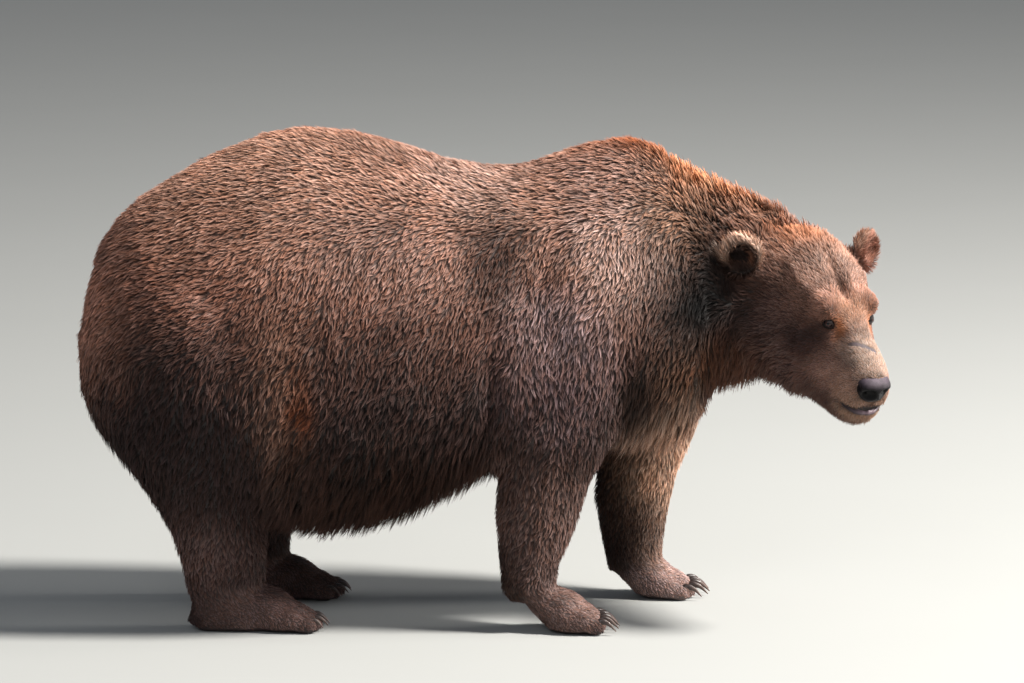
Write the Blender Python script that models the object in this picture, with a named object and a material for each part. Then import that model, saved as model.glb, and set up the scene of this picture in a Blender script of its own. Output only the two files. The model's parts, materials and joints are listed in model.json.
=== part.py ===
"""Life-size museum model of a very heavy adult brown bear (grizzly), standing on all fours.

The bear faces +X with its left side at +Y. Its head is lowered and turned to its own right.
One body is fused from lofts and rounded masses, then parted with thin cuts into named pieces.
Every outline is that of the coat, so the solids reach out to the tips of the fur.
"""

import math

import bmesh
import bpy
import numpy as np
from mathutils import Euler, Matrix, Vector

GAP = 0.0003  # clearance left between pieces that touch
BODY_VOXEL = 0.013
FINE_VOXEL = 0.0055
HIDE_VOXEL = 0.0065
RING_POINTS = 40
STEPS_BETWEEN_STATIONS = 5
HIDE_TRIANGLES = 4100  # of the fused body, before it is parted
SOLE_DEPTH = 0.006  # how far each sole is modelled below the floor, to be trimmed to a flat

# Trunk stations from the rump to the neck: x, top, bottom, level of greatest width, half width.
TRUNK = [
    (-0.972, 0.690, 0.590, 0.640, 0.060),
    (-0.962, 0.752, 0.522, 0.635, 0.135),
    (-0.924, 0.893, 0.452, 0.630, 0.245),
    (-0.852, 0.988, 0.372, 0.620, 0.330),
    (-0.756, 1.055, 0.303, 0.610, 0.380),
    (-0.636, 1.120, 0.262, 0.595, 0.410),
    (-0.492, 1.172, 0.226, 0.580, 0.425),
    (-0.348, 1.175, 0.218, 0.570, 0.425),
    (-0.204, 1.141, 0.250, 0.580, 0.412),
    (-0.060, 1.098, 0.318, 0.600, 0.385),
    (0.084, 1.090, 0.385, 0.630, 0.355),
    (0.228, 1.136, 0.405, 0.660, 0.326),
    (0.340, 1.156, 0.415, 0.690, 0.298),
    (0.440, 1.125, 0.450, 0.720, 0.260),
    (0.520, 1.070, 0.520, 0.760, 0.220),
]

# Neck stations from inside the chest to inside the skull: centre, half width, height above it,
# depth below it.
NECK = [
    ((0.330, 0.000, 0.800), 0.260, 0.330, 0.300),
    ((0.450, 0.004, 0.805), 0.236, 0.305, 0.278),
    ((0.550, 0.006, 0.810), 0.196, 0.260, 0.252),
    ((0.640, -0.006, 0.815), 0.168, 0.212, 0.240),
    ((0.715, -0.045, 0.815), 0.150, 0.175, 0.215),
]

# Leg stations from the body down: centre x, distance out from the middle plane, height,
# half depth, half width.
FORELEG_NEAR = [
    (0.255, 0.150, 0.960, 0.110, 0.070),
    (0.235, 0.195, 0.850, 0.150, 0.105),
    (0.215, 0.215, 0.720, 0.162, 0.120),
    (0.190, 0.220, 0.590, 0.150, 0.118),
    (0.168, 0.222, 0.455, 0.137, 0.106),
    (0.146, 0.222, 0.381, 0.118, 0.094),
    (0.130, 0.222, 0.308, 0.106, 0.086),
    (0.120, 0.222, 0.235, 0.094, 0.077),
    (0.107, 0.222, 0.165, 0.074, 0.068),
    (0.103, 0.222, 0.114, 0.068, 0.066),
    (0.118, 0.222, 0.070, 0.062, 0.062),
]
FORELEG_FAR = [
    (0.300, 0.150, 0.940, 0.110, 0.070),
    (0.350, 0.190, 0.820, 0.150, 0.105),
    (0.400, 0.210, 0.680, 0.160, 0.115),
    (0.415, 0.215, 0.540, 0.145, 0.110),
    (0.392, 0.217, 0.400, 0.118, 0.098),
    (0.371, 0.217, 0.318, 0.103, 0.088),
    (0.360, 0.217, 0.245, 0.096, 0.080),
    (0.359, 0.217, 0.172, 0.083, 0.072),
    (0.361, 0.217, 0.112, 0.074, 0.068),
    (0.372, 0.217, 0.068, 0.064, 0.062),
]
HINDLEG = [
    (-0.660, 0.200, 0.760, 0.190, 0.150),
    (-0.680, 0.215, 0.600, 0.235, 0.180),
    (-0.690, 0.220, 0.450, 0.190, 0.165),
    (-0.675, 0.215, 0.356, 0.142, 0.130),
    (-0.648, 0.210, 0.283, 0.126, 0.108),
    (-0.628, 0.208, 0.210, 0.112, 0.092),
    (-0.618, 0.206, 0.137, 0.101, 0.080),
    (-0.622, 0.206, 0.085, 0.090, 0.072),
    (-0.632, 0.206, 0.045, 0.070, 0.062),
]
HINDLEG_FAR_SHIFT = 0.045  # the far hind leg stands this much further forward

# Head stations in the head's own frame, x forward and z up: x, top, bottom, level of greatest
# width, half width.
HEAD = [
    (-0.210, 0.070, -0.150, -0.030, 0.115),
    (-0.150, 0.116, -0.200, -0.040, 0.146),
    (-0.080, 0.137, -0.225, -0.050, 0.160),
    (0.000, 0.141, -0.234, -0.060, 0.156),
    (0.070, 0.133, -0.222, -0.070, 0.138),
    (0.125, 0.113, -0.210, -0.078, 0.118),
    (0.170, 0.087, -0.210, -0.084, 0.100),
    (0.212, 0.055, -0.214, -0.088, 0.086),
    (0.255, 0.026, -0.216, -0.098, 0.072),
    (0.300, -0.002, -0.211, -0.106, 0.063),
    (0.336, -0.024, -0.200, -0.110, 0.056),
    (0.358, -0.042, -0.187, -0.114, 0.048),
    (0.371, -0.064, -0.168, -0.116, 0.034),
]
HEAD_PLACE = Vector((0.759, -0.083, 0.801))
HEAD_TURN = math.radians(61.5)  # to the bear's right
HEAD_DROP = math.radians(17)
HEAD_TILT = math.radians(-1.5)

# Muscle and fat: centre, radii, degrees turned about x, y and z.
MASSES = [
    ((0.300, 0.000, 1.045), (0.190, 0.120, 0.100), (0, 0, 0)),  # hump
    ((0.235, -0.235, 0.790), (0.150, 0.110, 0.235), (-6, 8, 0)),  # shoulders
    ((0.345, 0.235, 0.780), (0.150, 0.110, 0.235), (6, 8, 0)),
    ((0.120, -0.262, 0.520), (0.105, 0.072, 0.115), (0, 15, 0)),  # elbows
    ((0.330, 0.255, 0.510), (0.105, 0.072, 0.115), (0, 15, 0)),
    ((-0.655, -0.275, 0.640), (0.225, 0.145, 0.255), (0, -10, 0)),  # haunches
    ((-0.620, 0.275, 0.640), (0.225, 0.145, 0.255), (0, -10, 0)),
    ((0.400, 0.000, 0.590), (0.130, 0.150, 0.180), (0, -20, 0)),  # breast
    ((0.062, -0.222, 0.088), (0.024, 0.034, 0.024), (0, 0, 0)),  # wrist pads
    ((0.312, 0.217, 0.075), (0.022, 0.034, 0.022), (0, 0, 0)),
    ((-0.944, 0.000, 0.785), (0.026, 0.036, 0.050), (0, 16, 0)),  # tail
]

# Paws: name, side, centre line out from the middle plane, x of the heel, x of the longest toe's end.
PAWS = [
    ("forepaw_right", -1, 0.222, 0.060, 0.312),
    ("forepaw_left", 1, 0.217, 0.318, 0.531),
    ("hindpaw_right", -1, 0.206, -0.713, -0.382),
    ("hindpaw_left", 1, 0.206, -0.668, -0.340),
]
TOE_COUNT = 5
FORE_TOE_PITCH = 0.0325
HIND_TOE_PITCH = 0.0295
FORE_CLAW = 0.066  # length along the curve, its root in the toe included
HIND_CLAW = 0.044

# Ears in the head's frame: name, side, centre, radii (depth front to back, half width, half height).
EARS = [
    ("ear_right", -1, (-0.022, -0.174, 0.097), (0.027, 0.055, 0.053)),
    ("ear_left", 1, (-0.022, 0.174, 0.083), (0.026, 0.051, 0.050)),
]
EYE_CENTRE = (0.226, 0.070, 0.014)
EYE_RADIUS = 0.0125
EYE_SINK = 0.0065  # of the eyeball's centre below the coat

NOSE_HALF_WIDTH = 0.0400
CLAW_RINGS = 4
CLAW_SIDES = 6
CLAW_START = -14  # degrees below level at the root
CLAW_BEND = 72

WRIST_LEVEL = 0.112
ANKLE_LEVEL = 0.118
LEG_INNER = 0.100  # how far from the middle plane the legs are parted from the trunk
FORELEG_CUT = [(0.010, 0.05), (0.330, 0.05), (0.360, 0.76), (0.020, 0.60)]
HINDLEG_CUT = [
    (-0.860, 0.05),
    (-0.470, 0.05),
    (-0.520, 0.30),
    (-0.470, 0.64),
    (-1.000, 0.64),
    (-1.000, 0.30),
]
LEGS = [
    ("foreleg_right", -1, 0.0, FORELEG_CUT),
    ("foreleg_left", 1, 0.215, FORELEG_CUT),
    ("hindleg_right", -1, 0.0, HINDLEG_CUT),
    ("hindleg_left", 1, 0.045, HINDLEG_CUT),
]
TAIL_CUT = [(-1.050, 0.700), (-0.966, 0.700), (-0.930, 0.850), (-1.050, 0.850)]
NECK_CUT = [(0.410, 1.250), (0.610, 0.400), (1.250, 0.400), (1.250, 1.250)]

# In the head's frame.
HEAD_CUT = [(-0.070, 0.240), (-0.100, -0.300), (0.500, -0.300), (0.500, 0.240)]
HEAD_CUT_SPAN = 0.235
NOSE_CUT = [(0.364, -0.030), (0.344, -0.112), (0.460, -0.112), (0.460, -0.030)]
JAW_CUT = [(0.285, -0.1455), (0.450, -0.1740), (0.450, -0.300), (0.170, -0.300)]
MOUTH_GAP = [(0.285, -0.1450), (0.450, -0.1580), (0.450, -0.180), (0.285, -0.1460)]

FINISHES = {
    "claw": ((0.020, 0.014, 0.010), 0.35),
    "nose": ((0.035, 0.028, 0.028), 0.45),
    "eye": ((0.012, 0.007, 0.004), 0.08),
    "paw": ((0.045, 0.026, 0.018), 0.80),
    "leg": ((0.060, 0.034, 0.022), 0.80),
    "coat": ((0.130, 0.070, 0.038), 0.75),
}


def head_frame():
    """Matrix from the head's own frame to the bear's."""
    turn = Matrix.Rotation(-HEAD_TURN, 4, "Z")
    drop = Matrix.Rotation(HEAD_DROP, 4, "Y")
    tilt = Matrix.Rotation(-HEAD_TILT, 4, "X")
    return Matrix.Translation(HEAD_PLACE) @ turn @ drop @ tilt


def clear_scene():
    """Removes every object of the scene."""
    for old in list(bpy.data.objects):
        bpy.data.objects.remove(old)


def catmull_rom(stations, steps):
    """Rows between the stations, on a smooth curve through every one of them."""
    rows = np.array(stations, float)
    padded = np.vstack([2 * rows[0] - rows[1], rows, 2 * rows[-1] - rows[-2]])
    made = []
    for i in range(1, len(padded) - 2):
        before, here, there, after = padded[i - 1 : i + 3]
        for step in range(steps):
            t = step / steps
            made.append(
                0.5
                * (
                    2 * here
                    + (there - before) * t
                    + (2 * before - 5 * here + 4 * there - after) * t**2
                    + (3 * here - before - 3 * there + after) * t**3
                )
            )
    made.append(rows[-1])
    return made


def mesh_object(name, points, faces):
    """A new object of the scene with this mesh."""
    mesh = bpy.data.meshes.new(name)
    mesh.from_pydata([tuple(p) for p in points], [], faces)
    mesh.validate()
    made = bpy.data.objects.new(name, mesh)
    bpy.context.scene.collection.objects.link(made)
    return made


def skin_rings(name, rings):
    """A closed tube through rings of equal length, with a point at each end."""
    count = len(rings[0])
    points = [p for ring in rings for p in ring]
    faces = []
    for r in range(len(rings) - 1):
        for k in range(count):
            a, b = r * count + k, r * count + (k + 1) % count
            faces.append((a, b, b + count, a + count))
    for ring, first, order in ((rings[0], 0, -1), (rings[-1], (len(rings) - 1) * count, 1)):
        points.append(sum((Vector(p) for p in ring), Vector()) / count)
        for k in range(count):
            edge = (first + k, first + (k + 1) % count)
            faces.append((*edge[::order], len(points) - 1))
    made = mesh_object(name, points, faces)
    tidy = bmesh.new()
    tidy.from_mesh(made.data)
    bmesh.ops.recalc_face_normals(tidy, faces=tidy.faces)
    tidy.to_mesh(made.data)
    tidy.free()
    return made


def body_ring(x, top, bottom, wide, half_width, power=2.15):
    """A section across x: a superellipse, taller or shorter above its widest level than below it."""
    ring = []
    for k in range(RING_POINTS):
        angle = 2 * math.pi * k / RING_POINTS
        c, s = math.cos(angle), math.sin(angle)
        across = math.copysign(abs(c) ** (2 / power), c) * half_width
        rise = abs(s) ** (2 / power)
        ring.append(Vector((x, across, wide + rise * ((top - wide) if s > 0 else -(wide - bottom)))))
    return ring


def loft_along_x(name, stations, power=2.15):
    """A form of upright sections across x."""
    rows = catmull_rom(stations, STEPS_BETWEEN_STATIONS)
    return skin_rings(name, [body_ring(*row, power) for row in rows])


def loft_neck(name, stations):
    """The neck: oval sections square to its bent middle line."""
    rows = catmull_rom([(*c, w, up, down) for c, w, up, down in stations], STEPS_BETWEEN_STATIONS)
    rings = []
    for i, row in enumerate(rows):
        here = Vector(row[:3])
        along = Vector(rows[min(i + 1, len(rows) - 1)][:3]) - Vector(rows[max(i - 1, 0)][:3])
        side = Vector((0, 0, 1)).cross(along).normalized()
        rise = along.cross(side).normalized()
        ring = []
        for k in range(RING_POINTS):
            angle = 2 * math.pi * k / RING_POINTS
            height = row[4] if math.sin(angle) > 0 else row[5]
            ring.append(here + side * row[3] * math.cos(angle) + rise * height * math.sin(angle))
        rings.append(ring)
    return skin_rings(name, rings)


def loft_leg(name, stations, side, shift=0.0):
    """A leg of level sections. side is 1 for the left and -1 for the right."""
    rings = []
    for x, out, z, deep, wide in catmull_rom(stations, STEPS_BETWEEN_STATIONS):
        ring = []
        for k in range(RING_POINTS):
            angle = 2 * math.pi * k / RING_POINTS
            ring.append(
                Vector((x + shift + deep * math.cos(angle), side * (out + wide * math.sin(angle)), z))
            )
        rings.append(ring)
    return skin_rings(name, rings)


def mass(name, centre, radii, turn=(0, 0, 0), rings=16):
    """A rounded lump of muscle or fat: an ellipsoid, turned by degrees about x, y and z."""
    bpy.ops.mesh.primitive_uv_sphere_add(segments=2 * rings, ring_count=rings, radius=1)
    made = bpy.context.object
    made.name = name
    euler = Euler([math.radians(a) for a in turn])
    made.data.transform(
        Matrix.Translation(Vector(centre)) @ euler.to_matrix().to_4x4() @ Matrix.Diagonal((*radii, 1))
    )
    return made


def applied(made):
    """The object with its modifiers applied to its mesh."""
    made.update_tag()
    bpy.context.view_layer.update()
    graph = bpy.context.evaluated_depsgraph_get()
    mesh = bpy.data.meshes.new_from_object(made.evaluated_get(graph))
    made.modifiers.clear()
    made.data = mesh
    return made


def join(name, members):
    """One object that holds the meshes of all members, which are removed."""
    whole = bmesh.new()
    for member in members:
        copy = member.data.copy()
        copy.transform(member.matrix_world)
        whole.from_mesh(copy)
    mesh = bpy.data.meshes.new(name)
    whole.to_mesh(mesh)
    whole.free()
    for member in members:
        bpy.data.objects.remove(member)
    made = bpy.data.objects.new(name, mesh)
    bpy.context.scene.collection.objects.link(made)
    bpy.context.view_layer.update()
    return made


def fuse(name, members, voxel, rounds, strength=0.5):
    """The members melted into one closed skin, with its creases softened by rounds of smoothing."""
    made = join(name, members)
    remesh = made.modifiers.new("melt", "REMESH")
    remesh.mode = "VOXEL"
    remesh.voxel_size = voxel
    if rounds:
        soft = made.modifiers.new("soften", "SMOOTH")
        soft.factor = strength
        soft.iterations = rounds
    return applied(made)


def points_of(made):
    """The mesh's points as an array."""
    flat = np.empty(len(made.data.vertices) * 3, np.float32)
    made.data.vertices.foreach_get("co", flat)
    return flat.reshape(-1, 3).astype(float)


def set_points(made, points):
    """Writes points back into the mesh."""
    made.data.vertices.foreach_set("co", points.astype(np.float32).ravel())
    made.data.update()


def push(points, centre, radius, move):
    """Moves the points near centre by move, fading out over radius, one number or one for each axis."""
    away = (points - np.array(centre)) / np.broadcast_to(np.array(radius, float), 3)
    fade = np.exp(-(away**2).sum(axis=1))
    return points + fade[:, None] * np.array(move, float)


def push_both(points, centre, radius, move):
    """push on the left and, mirrored, on the right."""
    x, y, z = centre
    dx, dy, dz = move
    points = push(points, (x, y, z), radius, (dx, dy, dz))
    return push(points, (x, -y, z), radius, (dx, -dy, dz))


def nearest_surface(made, place):
    """(place, normal) of the object's surface nearest to a place in the object's own frame."""
    _, spot, normal, _ = made.closest_point_on_mesh(Vector(place))
    return spot, normal


def boolean(target, tool, operation):
    """The target cut by, or joined to, the tool, which is removed."""
    cut = target.modifiers.new(operation.lower(), "BOOLEAN")
    cut.operation = operation
    cut.solver = "EXACT"
    cut.object = tool
    applied(target)
    bpy.data.objects.remove(tool)
    return target


def prism(name, outline, low, high, frame=None, grow=0.0):
    """A prism on an outline in the x-z plane, from y = low to high, each face moved out by grow."""
    corners = [Vector(p) for p in outline]
    area = sum(a.x * b.y - b.x * a.y for a, b in zip(corners, corners[1:] + corners[:1]))
    turn = math.copysign(1.0, area)
    grown = []
    for i, corner in enumerate(corners):
        before = (corner - corners[i - 1]).normalized()
        after = (corners[(i + 1) % len(corners)] - corner).normalized()
        out_before = Vector((before.y, -before.x)) * turn
        out_after = Vector((after.y, -after.x)) * turn
        grown.append(corner + (out_before + out_after) * grow / (1 + out_before.dot(out_after)))
    rings = [[Vector((p.x, y, p.y)) for p in grown] for y in (low - grow, high + grow)]
    made = skin_rings(name, rings)
    if frame:
        made.data.transform(frame)
    return made


def part_off(whole, name, outline, low, high, frame=None):
    """Parts the piece inside a prism from the whole with a cut GAP wide, and returns it."""
    piece = bpy.data.objects.new(name, whole.data.copy())
    bpy.context.scene.collection.objects.link(piece)
    boolean(piece, prism("keep", outline, low, high, frame), "INTERSECT")
    boolean(whole, prism("drop", outline, low, high, frame, GAP), "DIFFERENCE")
    return piece


def make_head():
    """The head as one closed form, without ears and eyes, in its place on the bear."""
    members = [loft_along_x("head_form", HEAD, 2.25)]
    for side in (-1, 1):
        members += [
            mass("cheek", (0.015, side * 0.076, -0.085), (0.125, 0.070, 0.115), (0, 12, side * -10)),
            mass("jowl", (0.100, side * 0.060, -0.140), (0.125, 0.056, 0.066), (0, 4, side * -8)),
            mass("ear_root", (-0.030, side * 0.122, 0.052), (0.052, 0.046, 0.046), (side * -20, 0, 0)),
            mass("temple", (0.105, side * 0.066, 0.056), (0.074, 0.038, 0.042), (0, 18, side * -10)),
            mass("brow", (0.180, side * 0.053, 0.044), (0.044, 0.030, 0.028), (0, 28, side * -18)),
            mass("orbit", (0.208, side * 0.050, 0.010), (0.034, 0.026, 0.028), (0, 20, side * -20)),
            mass("lip", (0.312, side * 0.030, -0.118), (0.060, 0.034, 0.036), (0, 4, side * -6)),
        ]
    members.append(mass("chin", (0.262, 0, -0.178), (0.110, 0.048, 0.040), (0, -5, 0)))
    members.append(mass("nose", (0.360, 0, -0.076), (0.031, 0.0385, 0.033), (0, 14, 0)))
    head = fuse("head_form", members, FINE_VOXEL, 6)
    points = points_of(head)
    points = push_both(points, (0.222, 0.076, 0.006), (0.022, 0.030, 0.015), (-0.003, -0.004, 0.0))
    points = push_both(points, (0.250, 0.062, -0.034), (0.040, 0.025, 0.028), (0.0, -0.003, 0.0))
    points = push(points, (0.160, 0.0, 0.105), (0.060, 0.016, 0.050), (-0.008, 0.0, -0.010))
    set_points(head, points)
    head.data.transform(head_frame())
    return head


def toe_places(side, out, x_end, fore):
    """Centre of each toe's end ball, from the inner toe outwards, and the degrees it turns out."""
    pitch = FORE_TOE_PITCH if fore else HIND_TOE_PITCH
    places = []
    for i in range(TOE_COUNT):
        off = i - (TOE_COUNT - 1) / 2
        back = 0.0042 * (off - 0.25) ** 2 + (0.004 if i == 0 else 0.0)
        places.append((Vector((x_end - 0.030 - back, side * (out + off * pitch), 0.025)), side * off * 4.0))
    return places


def make_paw(name, side, out, x_heel, x_end):
    """A paw's flesh: heel, palm and five toes, each with a knuckle, reaching a little below the floor."""
    fore = name.startswith("fore")
    x_palm = x_end - 0.100
    wide = 2.45 * (FORE_TOE_PITCH if fore else HIND_TOE_PITCH)
    members = [
        mass("palm", (x_palm, side * out, 0.036), (0.078, wide, 0.042)),
        mass("instep", (x_palm - 0.035, side * out, 0.062), (0.082, wide * 0.86, 0.048), (0, 18, 0)),
    ]
    if not fore:
        x_mid = (x_heel + x_palm) / 2
        reach = (x_palm - x_heel) / 2 + 0.030
        members.append(mass("sole", (x_mid + 0.012, side * out, 0.034), (reach, wide * 0.80, 0.040)))
        members.append(mass("heel", (x_heel + 0.052, side * out, 0.052), (0.052, 0.056, 0.058)))
    for place, turn in toe_places(side, out, x_end, fore):
        members.append(mass("toe", place, (0.031, 0.0168, 0.0260), (0, 0, turn)))
        knuckle = place + Vector((-0.036, 0, 0.011))
        members.append(mass("knuckle", knuckle, (0.036, 0.0165, 0.0250), (0, 14, turn)))
    paw = fuse(name + "_form", members, FINE_VOXEL, 2)
    paw.data.transform(Matrix.Translation((0, 0, -SOLE_DEPTH + 0.001)))
    return paw


def make_body():
    """Trunk, neck, legs and tail as one closed form, without head and paws."""
    members = [
        loft_along_x("trunk_form", TRUNK),
        loft_neck("neck_form", NECK),
        loft_leg("foreleg_form_right", FORELEG_NEAR, -1),
        loft_leg("foreleg_form_left", FORELEG_FAR, 1),
        loft_leg("hindleg_form_right", HINDLEG, -1),
        loft_leg("hindleg_form_left", HINDLEG, 1, HINDLEG_FAR_SHIFT),
    ]
    members += [mass("muscle", *row) for row in MASSES]
    return fuse("body_form", members, BODY_VOXEL, 10)


def thinned(made, triangles, fine_spots):
    """The mesh reduced to fewer triangles, least so round the fine spots: centre, radius, weight."""
    points = points_of(made)
    weight = np.ones(len(points))
    for centre, radius, least in fine_spots:
        away = np.linalg.norm(points - np.array(centre), axis=1) / radius
        weight = np.minimum(weight, least + (1 - least) * np.clip(away - 0.6, 0, 1))
    group = made.vertex_groups.new(name="thin")
    for step in range(21):
        level = step / 20
        chosen = np.nonzero(np.abs(weight - level) <= 0.025)[0]
        if len(chosen):
            group.add([int(i) for i in chosen], level, "REPLACE")
    thin = made.modifiers.new("thin", "DECIMATE")
    thin.ratio = triangles / (2 * len(made.data.polygons))
    thin.vertex_group = "thin"
    thin.vertex_group_factor = 1.0
    applied(made)
    made.vertex_groups.clear()
    return made


def softened(made, centre, radius, rounds):
    """The mesh smoothed inside a soft ball, as where the head grows out of the neck."""
    points = points_of(made)
    away = np.linalg.norm(points - np.array(centre), axis=1) / radius
    group = made.vertex_groups.new(name="soft")
    for level, inner, outer in ((1.0, 0.0, 0.8), (0.6, 0.8, 1.0), (0.25, 1.0, 1.2)):
        chosen = np.nonzero((away >= inner) & (away < outer))[0]
        group.add([int(i) for i in chosen], level, "REPLACE")
    soft = made.modifiers.new("soft", "SMOOTH")
    soft.factor = 0.8
    soft.iterations = rounds
    soft.vertex_group = "soft"
    applied(made)
    made.vertex_groups.clear()
    return made


def make_hide():
    """Body, head and paws as one closed skin, thinned, with flat soles on the floor."""
    hide = fuse("hide", [make_body(), make_head()] + [make_paw(*row) for row in PAWS], HIDE_VOXEL, 2)
    frame = head_frame()
    softened(hide, frame @ Vector((-0.150, 0, -0.02)), 0.185, 60)
    spots = [(frame @ Vector((0.28, 0, -0.07)), 0.15, 0.75)]
    spots += [((x_end - 0.05, side * out, 0.03), 0.10, 0.85) for _, side, out, _, x_end in PAWS]
    thinned(hide, HIDE_TRIANGLES, spots)
    floor = prism("floor", [(-2, -0.2), (2, -0.2), (2, 0), (-2, 0)], -1, 1)
    return boolean(hide, floor, "DIFFERENCE")


def make_ear(name, side, centre, radii, frame, grow=0.0):
    """A rounded ear, hollow in front. Grown, it has no hollow and cuts the ear's own seat."""
    lean = Euler((math.radians(side * -38), math.radians(-12), math.radians(side * 34)))
    ear = mass(name, (0, 0, 0), [r + grow for r in radii], rings=8)
    if not grow:
        deep, wide, tall = radii
        hollow = mass("hollow", (deep * 0.95, 0, -0.004), (deep * 0.95, wide * 0.66, tall * 0.70), rings=6)
        boolean(ear, hollow, "DIFFERENCE")
    ear.data.transform(frame @ Matrix.Translation(centre) @ lean.to_matrix().to_4x4())
    return ear


def make_eye(side, head, frame):
    """An eyeball set into the head, in a socket cut for it."""
    x, y, z = EYE_CENTRE
    spot, normal = nearest_surface(head, frame @ Vector((x, side * y, z)))
    centre = spot - normal * EYE_SINK
    boolean(head, mass("socket", centre, [EYE_RADIUS + GAP] * 3, rings=6), "DIFFERENCE")
    return mass("eye_left" if side > 0 else "eye_right", centre, [EYE_RADIUS] * 3, rings=6)


def make_claw(name, root, turn, length, grow=0.0):
    """A claw that curves forwards and down from its root, deep at the base and drawn out to a point."""
    rings = []
    spot = Vector((-grow * 2, 0, 0))
    for i in range(CLAW_RINGS):
        t = i / (CLAW_RINGS - 1)
        bend = math.radians(CLAW_START + t * CLAW_BEND)
        along = Vector((math.cos(bend), 0, -math.sin(bend)))
        rise = Vector((math.sin(bend), 0, math.cos(bend)))
        deep = length * (0.115 * (1 - t) ** 0.75 + 0.014) + grow
        wide = length * (0.072 * (1 - t) ** 0.75 + 0.012) + grow
        ring = []
        for k in range(CLAW_SIDES):
            angle = 2 * math.pi * k / CLAW_SIDES
            ring.append(spot + Vector((0, 1, 0)) * wide * math.cos(angle) + rise * deep * math.sin(angle))
        rings.append(ring)
        spot = spot + along * length / (CLAW_RINGS - 1)
    made = skin_rings(name, rings)
    made.data.transform(Matrix.Translation(root) @ Matrix.Rotation(math.radians(turn), 4, "Z"))
    return made


def make_claws(paw, name, side, out, x_end):
    """Five claws, each with its root seated in a toe."""
    fore = name.startswith("fore")
    length = FORE_CLAW if fore else HIND_CLAW
    claws = []
    for i, (place, turn) in enumerate(toe_places(side, out, x_end, fore)):
        root = place + Vector((0.010, 0, 0.010))
        boolean(paw, make_claw("seat", root, turn, length, GAP), "DIFFERENCE")
        claws.append(make_claw(f"{name}_claw_{i + 1}", root, turn, length))
    return claws


def make_nostrils(nose, frame):
    """Cuts both nostrils into the nose."""
    for side in (-1, 1):
        centre = (0.388, side * 0.0160, -0.085)
        hole = mass("nostril", centre, (0.020, 0.0100, 0.0075), (side * 20, 12, side * -24), 5)
        hole.data.transform(frame)
        boolean(nose, hole, "DIFFERENCE")


def make_pieces():
    """The hide parted into named pieces, with the ears, eyes and claws seated in it."""
    hide = make_hide()
    frame = head_frame()
    pieces = []
    for name, side, out, x_heel, x_end in PAWS:
        near, far = sorted((side * out - 0.14, side * out + 0.14))
        wrist = WRIST_LEVEL if name.startswith("fore") else ANKLE_LEVEL
        back, front = x_heel - 0.10, x_end + 0.06
        outline = [(back, -0.02), (front, -0.02), (front, wrist), (back, wrist)]
        paw = part_off(hide, name, outline, near, far)
        pieces += [paw, *make_claws(paw, name, side, out, x_end)]
    for name, side, shift, outline in LEGS:
        inner, outer = sorted((side * LEG_INNER, side * 0.60))
        pieces.append(part_off(hide, name, [(x + shift, z) for x, z in outline], inner, outer))
    pieces.append(part_off(hide, "tail", TAIL_CUT, -0.055, 0.055))
    head = part_off(hide, "head", HEAD_CUT, -HEAD_CUT_SPAN, HEAD_CUT_SPAN, frame)
    pieces.append(part_off(hide, "neck", NECK_CUT, -0.45, 0.45))
    for name, side, centre, radii in EARS:
        boolean(head, make_ear("seat", side, centre, radii, frame, GAP), "DIFFERENCE")
        pieces += [make_ear(name, side, centre, radii, frame), make_eye(side, head, frame)]
    nose = part_off(head, "nose", NOSE_CUT, -NOSE_HALF_WIDTH, NOSE_HALF_WIDTH, frame)
    make_nostrils(nose, frame)
    jaw = part_off(head, "lower_jaw", JAW_CUT, -0.15, 0.15, frame)
    boolean(head, prism("mouth", MOUTH_GAP, -0.15, 0.15, frame), "DIFFERENCE")
    hide.name = "trunk"
    return [hide, head, jaw, nose, *pieces]


def set_on_origin(pieces):
    """Moves all pieces so that the middle of their box's underside is the origin. Returns the move."""
    corners = np.concatenate([points_of(piece) for piece in pieces])
    low, high = corners.min(axis=0), corners.max(axis=0)
    move = -Vector(((low[0] + high[0]) / 2, (low[1] + high[1]) / 2, low[2]))
    for piece in pieces:
        piece.data.transform(Matrix.Translation(move))
    return move


def finish(piece):
    """Gives a piece its smooth shading and its material."""
    kind = next((k for k in FINISHES if k in piece.name), "coat")
    colour, roughness = FINISHES[kind]
    material = bpy.data.materials.new(piece.name)
    material.use_nodes = True
    shader = material.node_tree.nodes["Principled BSDF"]
    shader.inputs["Base Color"].default_value = (*colour, 1)
    shader.inputs["Roughness"].default_value = roughness
    shader.inputs["Metallic"].default_value = 0.0
    piece.data.materials.clear()
    piece.data.materials.append(material)
    piece.data.shade_smooth()
    piece.data.set_sharp_from_angle(angle=math.radians(50))


def main():
    """Builds the bear. Returns how far it was moved onto the origin."""
    clear_scene()
    pieces = make_pieces()
    move = set_on_origin(pieces)
    for piece in pieces:
        finish(piece)
    return move


if __name__ == "__main__":
    main()
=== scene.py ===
"""Looks of a life-size grizzly bear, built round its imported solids.

One skin lies inside the flesh solids by the depth of the coat. Locks of thin strands grow out of it
in the lie of a real bear's coat. Eyes, lids, nose, lips and claws are pieces of their own.
The bear faces +X with its left side at +Y. Sizes are in metres, angles in degrees.
"""

import json
import logging
import math
from collections.abc import Callable, Sequence
from dataclasses import dataclass, field
from enum import Enum
from functools import partial

import bmesh
import bpy
import numpy as np
from mathutils import Matrix, Vector
from mathutils.bvhtree import BVHTree
from mathutils.kdtree import KDTree
from numpy.typing import NDArray

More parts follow.
